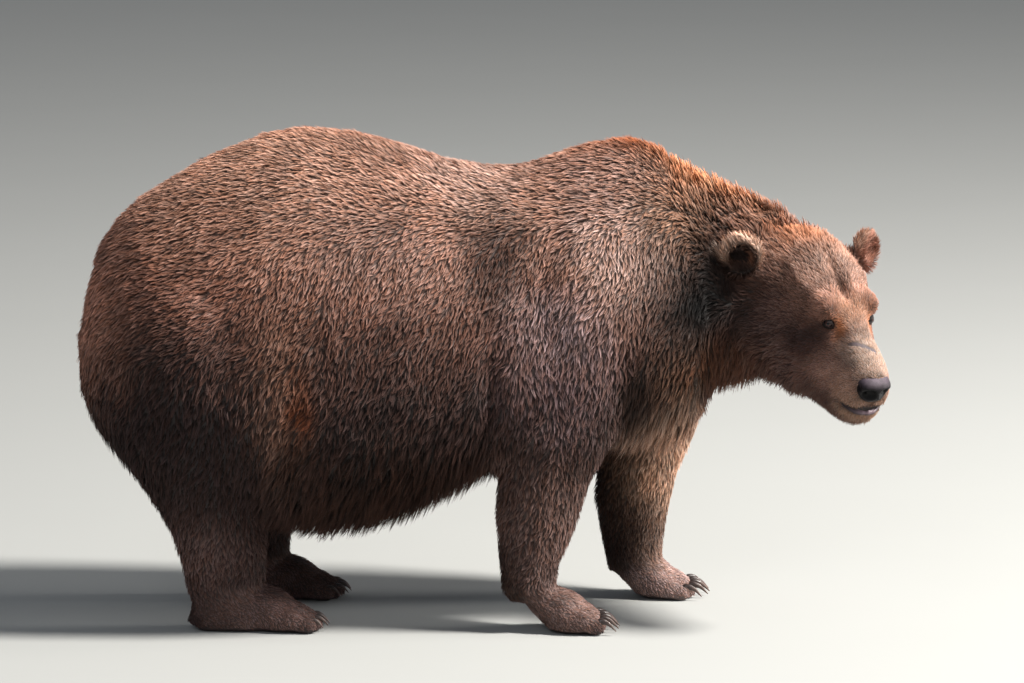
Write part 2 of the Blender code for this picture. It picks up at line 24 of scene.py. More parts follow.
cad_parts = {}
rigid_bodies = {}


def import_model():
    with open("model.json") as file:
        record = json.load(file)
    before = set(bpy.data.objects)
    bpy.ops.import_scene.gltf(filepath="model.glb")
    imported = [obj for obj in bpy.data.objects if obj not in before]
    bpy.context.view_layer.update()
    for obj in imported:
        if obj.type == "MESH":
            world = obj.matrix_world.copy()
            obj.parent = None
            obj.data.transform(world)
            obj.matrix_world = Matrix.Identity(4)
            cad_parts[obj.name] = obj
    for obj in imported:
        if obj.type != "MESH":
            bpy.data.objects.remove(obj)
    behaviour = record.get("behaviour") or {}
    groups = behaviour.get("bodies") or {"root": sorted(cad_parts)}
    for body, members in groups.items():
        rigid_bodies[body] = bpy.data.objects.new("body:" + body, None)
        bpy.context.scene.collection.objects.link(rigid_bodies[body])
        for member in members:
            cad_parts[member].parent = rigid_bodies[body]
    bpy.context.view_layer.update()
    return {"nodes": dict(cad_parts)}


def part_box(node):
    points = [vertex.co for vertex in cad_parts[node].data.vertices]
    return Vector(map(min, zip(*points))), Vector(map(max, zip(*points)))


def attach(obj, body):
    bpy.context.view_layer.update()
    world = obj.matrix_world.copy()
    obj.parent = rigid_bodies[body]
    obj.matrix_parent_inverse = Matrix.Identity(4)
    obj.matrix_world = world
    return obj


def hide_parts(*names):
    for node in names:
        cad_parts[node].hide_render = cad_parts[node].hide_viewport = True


Floats = NDArray[np.float64]
Whole = NDArray[np.int64]
Colour = tuple[float, float, float]
Triple = tuple[float, float, float]
Span = tuple[float, float]
Test = Callable[[Floats, Floats], NDArray[np.bool_]]

LOG = logging.getLogger("bear")
BODY = "root"
PAWS = ("forepaw_right", "forepaw_left", "hindpaw_right", "hindpaw_left")
LEGS = ("foreleg_right", "foreleg_left", "hindleg_right", "hindleg_left")
FLESH = ("trunk", "neck", "head", "lower_jaw", "tail", "ear_right", "ear_left", *LEGS, *PAWS)
WELD = 2e-5
FLOOR_CLEARANCE = 0.0012
EYE_SPOT = (0.2200, 0.0640, 0.0130)  # the left eye in the head's frame
PARTING = (0.226, 0.060, 0.008)  # where the hair parts round it

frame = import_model()


def screen(red: float, green: float, blue: float) -> Colour:
    """A colour as a screen shows it, from 0 to 255, turned into linear light."""
    return tuple(
        value / 12.92 / 255 if value <= 10.31 else ((value / 255 + 0.055) / 1.055) ** 2.4
        for value in (red, green, blue)
    )


def smooth(values: Floats, low: float, high: float) -> Floats:
    """Rises softly from 0 at low to 1 at high."""
    t = np.clip((values - low) / (high - low), 0.0, 1.0)
    return t * t * (3 - 2 * t)


def unit(vectors: Floats) -> Floats:
    """The vectors at length 1."""
    return vectors / np.maximum(np.linalg.norm(vectors, axis=-1, keepdims=True), 1e-12)


def dot(a: Floats, b: Floats) -> Floats:
    """The dot product of each pair, as one column."""
    return (a * b).sum(axis=-1, keepdims=True)


def lattice(cells: Whole, seed: int) -> Floats:
    """Fixed numbers for whole-number cells.

    Args:
        cells: rows of three whole numbers.
        seed: which set of numbers.

    Returns:
        A number from 0 to 1 for each row.
    """
    mixed = cells[..., 0] * 73856093 ^ cells[..., 1] * 19349663 ^ cells[..., 2] * 83492791
    mixed = (mixed ^ (seed * 974711)) & 0xFFFFFFFF
    mixed = ((mixed ^ (mixed >> 15)) * 2246822519) & 0xFFFFFFFF
    mixed = ((mixed ^ (mixed >> 13)) * 3266489917) & 0xFFFFFFFF
    return ((mixed ^ (mixed >> 16)) & 0xFFFFFF) / 0xFFFFFF


def noise(points: Floats, size: float, seed: int) -> Floats:
    """Soft noise.

    Args:
        points: the places.
        size: how wide its features are, about.
        seed: which noise.

    Returns:
        A number from -1 to 1 for each place.
    """
    scaled = points / size
    base = np.floor(scaled).astype(np.int64)
    part = scaled - base
    part = part * part * (3 - 2 * part)
    total = np.zeros(len(points))
    for corner in range(8):
        step = np.array([corner & 1, corner >> 1 & 1, corner >> 2 & 1])
        weight = np.prod(np.where(step, part, 1 - part), axis=1)
        total += weight * lattice(base + step, seed)
    return 2 * total - 1


@dataclass(frozen=True)
class HeadPose:
    """How the head is held, with the middle of the eyes in the head's own frame."""

    turn: float = 61.5
    drop: float = 17.0
    tilt: float = 1.5
    eyes: Triple = (0.2194, 0.0, 0.0141)

    def matrix(self) -> Matrix:
        """Matrix from the head's frame, x forward and z up, to the bear's.

        Returns:
            The matrix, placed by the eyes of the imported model.
        """
        turned = Matrix.Rotation(math.radians(-self.turn), 4, "Z")
        turned @= Matrix.Rotation(math.radians(self.drop), 4, "Y")
        turned @= Matrix.Rotation(math.radians(self.tilt), 4, "X")
        corners = [corner for eye in ("eye_left", "eye_right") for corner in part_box(eye)]
        middle = sum(corners, Vector()) / len(corners)
        return Matrix.Translation(middle - turned @ Vector(self.eyes)) @ turned


HEAD = HeadPose().matrix()
HEAD_AXES = np.array(HEAD.to_3x3())
HEAD_ORIGIN = np.array(HEAD.translation)


def to_head(points: Floats) -> Floats:
    """Places in the head's own frame."""
    return (points - HEAD_ORIGIN) @ HEAD_AXES


def from_head(points: Floats) -> Floats:
    """Places of the head's own frame in the bear's."""
    return np.asarray(points, float) @ HEAD_AXES.T + HEAD_ORIGIN


# ---------------------------------------------------------------- materials


@dataclass(frozen=True)
class Number:
    """One number in a material's nodes. Arithmetic on it adds Math nodes."""

    nodes: "Nodes"
    socket: bpy.types.NodeSocket

    def _math(self, operation: str, *values: "Number | float") -> "Number":
        """A Math node on these values.

        Args:
            operation: the node's operation.
            values: its inputs, in order.

        Returns:
            The node's result.
        """
        return self.nodes.add(
            "ShaderNodeMath", {"operation": operation}, dict(enumerate(values))
        )

    def __add__(self, other: "Number | float") -> "Number":
        """self + other."""
        return self._math("ADD", self, other)

    __radd__ = __add__

    def __sub__(self, other: "Number | float") -> "Number":
        """self - other."""
        return self._math("SUBTRACT", self, other)

    def __rsub__(self, other: "Number | float") -> "Number":
        """other - self."""
        return self._math("SUBTRACT", other, self)

    def __mul__(self, other: "Number | float") -> "Number":
        """self * other."""
        return self._math("MULTIPLY", self, other)

    __rmul__ = __mul__

    def __pow__(self, other: float) -> "Number":
        """self to a power."""
        return self._math("POWER", self, other)

    def step(self, low: float, high: float) -> "Number":
        """Rises softly from 0 at low to 1 at high."""
        return self.nodes.add(
            "ShaderNodeMapRange",
            {"interpolation_type": "SMOOTHSTEP"},
            {"Value": self, "From Min": low, "From Max": high},
        )


@dataclass
class Nodes:
    """A material's nodes, round one Principled shader."""

    name: str
    material: bpy.types.Material = field(init=False)
    shader: bpy.types.ShaderNode = field(init=False)

    def __post_init__(self) -> None:
        """Makes the material."""
        self.material = bpy.data.materials.new(self.name)
        self.material.use_nodes = True
        self.shader = self.material.node_tree.nodes["Principled BSDF"]

    def add(
        self,
        kind: str,
        settings: dict[str, object] | None = None,
        inputs: dict[str | int, object] | None = None,
        output: str | int = 0,
    ) -> Number:
        """Adds a node.

        Args:
            kind: the node's type.
            settings: its properties, set first.
            inputs: a value or a link for each of its sockets.
            output: which of its outputs is wanted.

        Returns:
            That output.
        """
        node = self.material.node_tree.nodes.new(kind)
        for key, value in (settings or {}).items():
            setattr(node, key, value)
        for key, value in (inputs or {}).items():
            self.set(node.inputs[key], value)
        return Number(self, node.outputs[output])

    def set(self, socket: bpy.types.NodeSocket, value: object) -> None:
        """Links a value to a socket, or writes it there."""
        if isinstance(value, Number):
            self.material.node_tree.links.new(value.socket, socket)
        elif isinstance(value, tuple) and len(value) == 3 and socket.type == "RGBA":
            socket.default_value = (*value, 1.0)
        else:
            socket.default_value = value

    def shade(self, **inputs: object) -> bpy.types.Material:
        """Sets the shader's sockets, with _ for a space in their names.

        Returns:
            The material.
        """
        for key, value in inputs.items():
            self.set(self.shader.inputs[key.replace("_", " ")], value)
        return self.material

    def mix(self, factor: object, a: object, b: object, blend: str = "MIX") -> Number:
        """A colour between a and b.

        Args:
            factor: 0 for a and 1 for b.
            a: the first colour.
            b: the second colour.
            blend: how the second is laid on the first.

        Returns:
            The mixed colour.
        """
        settings = {"data_type": "RGBA", "blend_type": blend}
        return self.add("ShaderNodeMix", settings, {0: factor, 6: a, 7: b}, 2)

    def place(self) -> Number:
        """The place on the object."""
        return self.add("ShaderNodeTexCoord", output="Object")

    def attribute(self, name: str, output: str = "Color") -> Number:
        """A named attribute of the mesh."""
        return self.add("ShaderNodeAttribute", {"attribute_name": name}, output=output)

    def parts(self, name: str) -> tuple[Number, Number, Number]:
        """Splits a vector attribute.

        Args:
            name: the attribute.

        Returns:
            Its three numbers.
        """
        vector = self.attribute(name, "Vector")
        split = self.add("ShaderNodeSeparateXYZ", inputs={0: vector})
        outputs = split.socket.node.outputs
        return tuple(Number(self, outputs[i]) for i in range(3))

    def grain(self, size: float, detail: float = 3.0, seed: float = 0.0) -> Number:
        """Noise over the object.

        Args:
            size: how wide its features are, about.
            detail: how many finer layers it has.
            seed: how far along each axis it is moved.

        Returns:
            A number from 0 to 1.
        """
        place = self.place()
        if seed:
            settings = {"operation": "ADD"}
            place = self.add("ShaderNodeVectorMath", settings, {0: place, 1: (seed, seed, seed)})
        inputs = {"Vector": place, "Scale": 1 / size, "Detail": detail}
        return self.add("ShaderNodeTexNoise", inputs=inputs)

    def bump(self, height: Number, depth: float) -> Number:
        """A bumped normal, depth metres from height 0 to 1."""
        return self.add("ShaderNodeBump", inputs={"Height": height, "Distance": depth})


@dataclass(frozen=True)
class FurFinish:
    """Damp hair: dark at the root, paler towards the tip, with streaks of rust and of ash."""

    name: str
    roughness: float = 0.46
    root_shade: float = 0.10
    tip_shade: float = 1.28
    rust: Colour = (1.28, 0.92, 0.70)
    ash: Colour = (0.98, 1.02, 1.10)
    specular: float = 0.16

    def make(self) -> bpy.types.Material:
        """Makes it.

        Returns:
            The material, which reads the coat's attributes.
        """
        nodes = Nodes(self.name)
        along, strand, lock = nodes.parts("strand")
        tint = nodes.attribute("tint")
        hue = nodes.mix(lock.step(0.15, 0.85), self.rust, self.ash)
        tinted = nodes.mix(0.45, tint, nodes.mix(1.0, tint, hue, "MULTIPLY"))
        rise = along ** 1.6
        shade = rise * (self.tip_shade - self.root_shade) + self.root_shade
        shade = shade * (strand * 0.5 + 0.75)
        grey = nodes.add("ShaderNodeCombineXYZ", inputs={0: shade, 1: shade, 2: shade})
        colour = nodes.mix(1.0, tinted, grey, "MULTIPLY")
        pale = nodes.parts("tint")[0].step(0.0, 0.20)
        rough = strand * 0.16 + (self.roughness + 0.16) - pale * 0.20
        return nodes.shade(
            Base_Color=colour, Roughness=rough, Specular_IOR_Level=self.specular
        )


@dataclass(frozen=True)
class SkinFinish:
    """Underfur and bare hide: the coat's own markings, darkened, over a fine grain."""

    name: str
    shade: float = 0.32
    grain: float = 0.004

    def make(self) -> bpy.types.Material:
        """Makes it.

        Returns:
            The material, which reads the skin's tint.
        """
        nodes = Nodes(self.name)
        fine = nodes.grain(self.grain, 4.0)
        coarse = nodes.grain(self.grain * 9, 3.0, 3.7)
        tint = nodes.attribute("tint")
        level = (fine * 0.9 + coarse * 0.5 + 0.3) * self.shade
        grey = nodes.add("ShaderNodeCombineXYZ", inputs={0: level, 1: level, 2: level})
        bump = nodes.bump(fine, 0.0015)
        return nodes.shade(
            Base_Color=nodes.mix(1.0, tint, grey, "MULTIPLY"),
            Roughness=coarse * 0.2 + 0.6,
            Normal=bump,
        )


@dataclass(frozen=True)
class NoseFinish:
    """Damp pebbled leather: grey on top, which is partly painted sheen, and black in the nostrils, slits
    and groove, which is painted shade.
    """

    name: str
    # Grey-mauve where the pad faces up: partly painted sheen.
    top: Colour = screen(94, 82, 92)
    front: Colour = screen(14, 10, 13)
    # Painted shade in the nostrils, slits and groove.
    hollow: Colour = screen(4, 3, 3)
    pebble: float = 0.0011

    def make(self) -> bpy.types.Material:
        """Makes it.

        Returns:
            The material, which reads how upward and how hollow the nose is at each point.
        """
        nodes = Nodes(self.name)
        up, deep, _ = nodes.parts("nose")
        inputs = {"Vector": nodes.place(), "Scale": 1 / self.pebble}
        cells = nodes.add("ShaderNodeTexVoronoi", {"feature": "DISTANCE_TO_EDGE"}, inputs)
        raised = cells.step(0.0, 0.22)
        patchy = nodes.grain(0.012, 3.0)
        # Paler where the pad faces up: partly painted sheen.
        colour = nodes.mix((up * 1.2 + patchy * 0.5 - 0.30).step(0.0, 1.0), self.front, self.top)
        colour = nodes.mix(raised * 0.16 + 0.84, (0.0, 0.0, 0.0), colour)
        # Painted shade in the hollows.
        colour = nodes.mix(deep, colour, self.hollow)
        rough = patchy * 0.24 + raised * 0.06 + 0.34
        return nodes.shade(
            Base_Color=colour,
            Roughness=rough,
            Normal=nodes.bump(raised, 0.00010),
            Specular_IOR_Level=0.16,
        )


@dataclass(frozen=True)
class LeatherFinish:
    """Bare dark skin of lids, lips and gums, wet where the wet attribute says."""

    name: str
    dry: Colour
    wet: Colour
    grain: float = 0.0016
    roughness: float = 0.55

    def make(self) -> bpy.types.Material:
        """Makes it.

        Returns:
            The material, which reads the wet attribute.
        """
        nodes = Nodes(self.name)
        wet = nodes.attribute("wet", "Fac")
        fine = nodes.grain(self.grain, 4.0)
        patchy = nodes.grain(self.grain * 8, 2.0, 1.3)
        colour = nodes.mix(wet * (patchy * 0.6 + 0.55), self.dry, self.wet)
        colour = nodes.mix(fine * 0.5 + 0.5, (0.0, 0.0, 0.0), colour)
        return nodes.shade(
            Base_Color=colour,
            Roughness=(1 - wet) * (self.roughness - 0.16) + 0.16,
            Normal=nodes.bump(fine, 0.0005),
            Coat_Weight=wet * 0.3,
            Coat_Roughness=0.2,
            Specular_IOR_Level=0.18,
        )


@dataclass(frozen=True)
class EyeFinish:
    """A dark wet eye: brown iris with a reddish glow, black pupil, dark rim."""

    name: str
    iris: Colour = screen(74, 28, 15)
    ring: Colour = screen(24, 13, 10)
    white: Colour = screen(18, 12, 10)
    pupil: float = 0.20
    rim: float = 0.52

    def make(self) -> bpy.types.Material:
        """Makes it.

        Returns:
            The material, which reads how far each point is from the middle of the gaze.
        """
        nodes = Nodes(self.name)
        away, round_x, round_y = nodes.parts("gaze")
        spokes = nodes.add(
            "ShaderNodeTexNoise",
            inputs={
                "Vector": nodes.add(
                    "ShaderNodeCombineXYZ", inputs={0: round_x * 9, 1: round_y * 9, 2: away * 2}
                ),
                "Scale": 1.6,
            },
        )
        iris = nodes.mix(spokes, self.ring, self.iris)
        iris = nodes.mix(away.step(self.rim - 0.12, self.rim), iris, self.ring)
        ball = nodes.mix(away.step(self.rim, self.rim + 0.05), iris, self.white)
        colour = nodes.mix(away.step(self.pupil, self.pupil + 0.04), (0.001, 0.001, 0.001), ball)
        return nodes.shade(
            Base_Color=colour,
            Roughness=0.12,
            Coat_Weight=0.25,
            Coat_Roughness=0.03,
            Specular_IOR_Level=0.2,
        )


@dataclass(frozen=True)
class HornFinish:
    """Claw horn: dark at the base, paler and worn at the tip, with fine lines along it."""

    name: str
    base: Colour = screen(42, 27, 23)
    tip: Colour = screen(104, 82, 74)

    def make(self) -> bpy.types.Material:
        """Makes it.

        Returns:
            The material, which reads how far along the claw each point is.
        """
        nodes = Nodes(self.name)
        along, side, seed = nodes.parts("horn")
        vector = nodes.add("ShaderNodeCombineXYZ", inputs={0: along * 3, 1: side * 26, 2: seed * 9})
        lines = nodes.add("ShaderNodeTexNoise", inputs={"Vector": vector, "Scale": 1.0, "Detail": 3.0})
        worn = (along + lines * 0.5 - 0.25).step(0.25, 1.0)
        colour = nodes.mix(worn, self.base, self.tip)
        colour = nodes.mix(lines * 0.6 + 0.4, (0.004, 0.003, 0.002), colour)
        return nodes.shade(
            Base_Color=colour,
            Roughness=lines * 0.2 + 0.32,
            Normal=nodes.bump(lines, 0.0005),
            Coat_Weight=0.15,
        )


@dataclass(frozen=True)
class StudioFinish:
    """Plain pale matt paint of the floor."""

    name: str
    colour: Colour = screen(158, 159, 157)

    def make(self) -> bpy.types.Material:
        """Makes it.

        Returns:
            The material.
        """
        nodes = Nodes(self.name)
        mottle = nodes.grain(0.6, 2.0)
        colour = nodes.mix(mottle * 0.06, self.colour, (0.5, 0.5, 0.5))
        return nodes.shade(Base_Color=colour, Roughness=0.85)


# ---------------------------------------------------------------- meshes


def select_only(piece: bpy.types.Object) -> None:
    """Selects one object and makes it active.

    Args:
        piece: the object.
    """
    bpy.ops.object.select_all(action="DESELECT")
    piece.select_set(True)
    bpy.context.view_layer.objects.active = piece


def new_piece(name: str, mesh: bpy.types.Mesh) -> bpy.types.Object:
    """An object of the scene.

    Args:
        name: its name.
        mesh: its mesh.

    Returns:
        The object.
    """
    piece = bpy.data.objects.new(name, mesh)
    bpy.context.scene.collection.objects.link(piece)
    return piece


def mesh_of(name: str, points: Floats, faces: Sequence[Whole]) -> bpy.types.Mesh:
    """A mesh from arrays.

    Args:
        name: the mesh's name.
        points: its vertices.
        faces: arrays of faces, each with one number of corners.

    Returns:
        The mesh, shaded smooth.
    """
    mesh = bpy.data.meshes.new(name)
    corners = np.concatenate([group.ravel() for group in faces]).astype(np.int32)
    totals = np.concatenate([np.full(len(group), group.shape[1]) for group in faces])
    starts = np.concatenate([[0], np.cumsum(totals)[:-1]])
    mesh.vertices.add(len(points))
    mesh.vertices.foreach_set("co", points.astype(np.float32).ravel())
    mesh.loops.add(len(corners))
    mesh.loops.foreach_set("vertex_index", corners)
    mesh.polygons.add(len(totals))
    mesh.polygons.foreach_set("loop_start", starts.astype(np.int32))
    mesh.polygons.foreach_set("use_smooth", np.ones(len(totals), bool))
    mesh.update(calc_edges=True)
    return mesh


def points_of(mesh: bpy.types.Mesh) -> Floats:
    """The vertices of a mesh.

    Args:
        mesh: the mesh.

    Returns:
        Their places.
    """
    flat = np.empty(len(mesh.vertices) * 3, np.float32)
    mesh.vertices.foreach_get("co", flat)
    return flat.reshape(-1, 3).astype(float)


def set_points(mesh: bpy.types.Mesh, points: Floats) -> None:
    """Moves the mesh's vertices."""
    mesh.vertices.foreach_set("co", points.astype(np.float32).ravel())
    mesh.update()


def write_vectors(mesh: bpy.types.Mesh, name: str, values: Floats) -> None:
    """Stores three numbers for each vertex."""
    layer = mesh.attributes.new(name, "FLOAT_VECTOR", "POINT")
    layer.data.foreach_set("vector", values.astype(np.float32).ravel())


def write_colours(mesh: bpy.types.Mesh, name: str, values: Floats) -> None:
    """Stores a colour for each vertex.

    Args:
        mesh: the mesh.
        name: the attribute's name.
        values: the colours.
    """
    layer = mesh.attributes.new(name, "FLOAT_COLOR", "POINT")
    rows = np.concatenate([values, np.ones((len(values), 1))], axis=1)
    layer.data.foreach_set("color", rows.astype(np.float32).ravel())


def write_numbers(mesh: bpy.types.Mesh, name: str, values: Floats) -> None:
    """Stores one number for each vertex."""
    layer = mesh.attributes.new(name, "FLOAT", "POINT")
    layer.data.foreach_set("value", values.astype(np.float32))


def grid_faces(rows: int, columns: int, closed: bool) -> Whole:
    """Quads over rows of points.

    Args:
        rows: how many rows.
        columns: points in each row.
        closed: whether each row comes back to its start.

    Returns:
        The faces.
    """
    quads = columns if closed else columns - 1
    row, near = np.meshgrid(np.arange(rows - 1), np.arange(quads), indexing="ij")
    row, near = row.ravel(), near.ravel()
    far = (near + 1) % columns
    here, after = row * columns, (row + 1) * columns
    return np.stack([here + near, here + far, after + far, after + near], axis=1)


def apply_modifier(piece: bpy.types.Object, kind: str, **settings: object) -> None:
    """Adds a modifier and applies it.

    Args:
        piece: the object.
        kind: the modifier's type.
        settings: its properties.
    """
    modifier = piece.modifiers.new(kind.lower(), kind)
    for key, value in settings.items():
        setattr(modifier, key, value)
    select_only(piece)
    bpy.ops.object.modifier_apply(modifier=modifier.name)


def turn_outwards(mesh: bpy.types.Mesh, centre: Floats | None = None) -> None:
    """Turns a mesh's faces outwards.

    Args:
        mesh: the mesh.
        centre: for an open sheet, the place that its faces look away from.
    """
    work = bmesh.new()
    work.from_mesh(mesh)
    if centre is None:
        bmesh.ops.recalc_face_normals(work, faces=work.faces)
    else:
        middle = Vector(centre)
        total = sum(
            (face.calc_center_median() - middle).dot(face.normal) * face.calc_area()
            for face in work.faces
        )
        if total < 0:
            bmesh.ops.reverse_faces(work, faces=work.faces)
    work.to_mesh(mesh)
    work.free()


def copy_nodes(name: str, nodes: Sequence[str]) -> bpy.types.Object:
    """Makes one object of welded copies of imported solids.

    Args:
        name: the object's name.
        nodes: the solids.

    Returns:
        The object.
    """
    whole = bmesh.new()
    for node in nodes:
        part = bmesh.new()
        part.from_mesh(frame["nodes"][node].data)
        bmesh.ops.remove_doubles(part, verts=part.verts, dist=WELD)
        mesh = bpy.data.meshes.new("part")
        part.to_mesh(mesh)
        part.free()
        whole.from_mesh(mesh)
        bpy.data.meshes.remove(mesh)
    mesh = bpy.data.meshes.new(name)
    whole.to_mesh(mesh)
    whole.free()
    return new_piece(name, mesh)


def keep_largest(piece: bpy.types.Object) -> None:
    """Removes the smaller loose parts of a mesh.

    Args:
        piece: the object, which keeps the part with most vertices.
    """
    select_only(piece)
    before = set(bpy.data.objects)
    bpy.ops.object.mode_set(mode="EDIT")
    bpy.ops.mesh.select_all(action="SELECT")
    bpy.ops.mesh.separate(type="LOOSE")
    bpy.ops.object.mode_set(mode="OBJECT")
    loose = [piece, *(set(bpy.data.objects) - before)]
    largest = max(loose, key=lambda part: len(part.data.vertices))
    piece.data, largest.data = largest.data, piece.data
    for part in loose:
        if part is not piece:
            bpy.data.objects.remove(part)


class Surface:
    """A closed mesh as arrays, with its normals and its neighbours."""

    def __init__(self, mesh: bpy.types.Mesh) -> None:
        """Reads the mesh.

        Args:
            mesh: the mesh.
        """
        mesh.calc_loop_triangles()
        corners = np.empty(len(mesh.loop_triangles) * 3, np.int32)
        mesh.loop_triangles.foreach_get("vertices", corners)
        self.points = points_of(mesh)
        self.triangles = corners.reshape(-1, 3).astype(np.int64)
        sources = self.triangles.ravel()
        targets = self.triangles[:, [1, 2, 0]].ravel()
        order = np.argsort(sources, kind="stable")
        self._targets = targets[order]
        counts = np.bincount(sources, minlength=len(self.points))
        self._starts = np.concatenate([[0], np.cumsum(counts)[:-1]])
        self._counts = counts.astype(float)
        self.normals, self.areas = self._measure()

    def _measure(self) -> tuple[Floats, Floats]:
        """Measures the surface.

        Returns:
            The vertices' normals and the triangles' areas.
        """
        a, b, c = (self.points[self.triangles[:, i]] for i in range(3))
        cross = np.cross(b - a, c - a)
        normals = np.zeros_like(self.points)
        for axis in range(3):
            for corner in range(3):
                normals[:, axis] += np.bincount(
                    self.triangles[:, corner], cross[:, axis], minlength=len(self.points)
                )
        return unit(normals), np.linalg.norm(cross, axis=1) / 2

    def blur(self, values: Floats, rounds: int) -> Floats:
        """Spreads values over the surface.

        Args:
            values: rows of numbers, one row for each vertex.
            rounds: how many times each takes half of its neighbours' mean.

        Returns:
            The spread values.
        """
        for _ in range(rounds):
            sums = np.add.reduceat(values[self._targets], self._starts, axis=0)
            values = (values + sums / self._counts[:, None]) / 2
        return values


# ---------------------------------------------------------------- the lie, length and colour of the coat


class Part(Enum):
    """The parts of the bear that differ in coat."""

    TRUNK = 0
    NECK = 1
    HEAD = 2
    FORELEG = 3
    HINDLEG = 4
    PAW = 5
    EAR = 6
    TAIL = 7

    @staticmethod
    def of(node: str) -> "Part":
        """Sorts the solids into parts.

        Args:
            node: a solid.

        Returns:
            The part that it belongs to.
        """
        kinds = {"trunk": Part.TRUNK, "neck": Part.NECK, "tail": Part.TAIL}
        starts = {"fore": Part.FORELEG, "hind": Part.HINDLEG, "ear_": Part.EAR}
        if node in kinds:
            return kinds[node]
        if "paw" in node:
            return Part.PAW
        return starts.get(node[:4], Part.HEAD)


@dataclass(frozen=True)
class Marking:
    """A soft patch of colour, the same on both sides.

    on_head puts it in the head's frame and keeps it to the head. over_head lets a patch in the bear's
    frame run over the head too.
    """

    colour: Colour
    centre: Triple
    radii: Triple
    strength: float = 1.0
    on_head: bool = False
    over_head: bool = False

    def weight(self, body: Floats, head: Floats) -> Floats:
        """How strongly each place takes the colour.

        Args:
            body: the places in the bear's frame.
            head: the same places in the head's frame.

        Returns:
            A number from 0 to 1 for each.
        """
        places = (head if self.on_head else body).copy()
        places[:, 1] = np.abs(places[:, 1])
        away = ((places - np.array(self.centre)) / np.array(self.radii)) ** 2
        return self.strength * np.exp(-(away.sum(axis=1) ** 1.4))


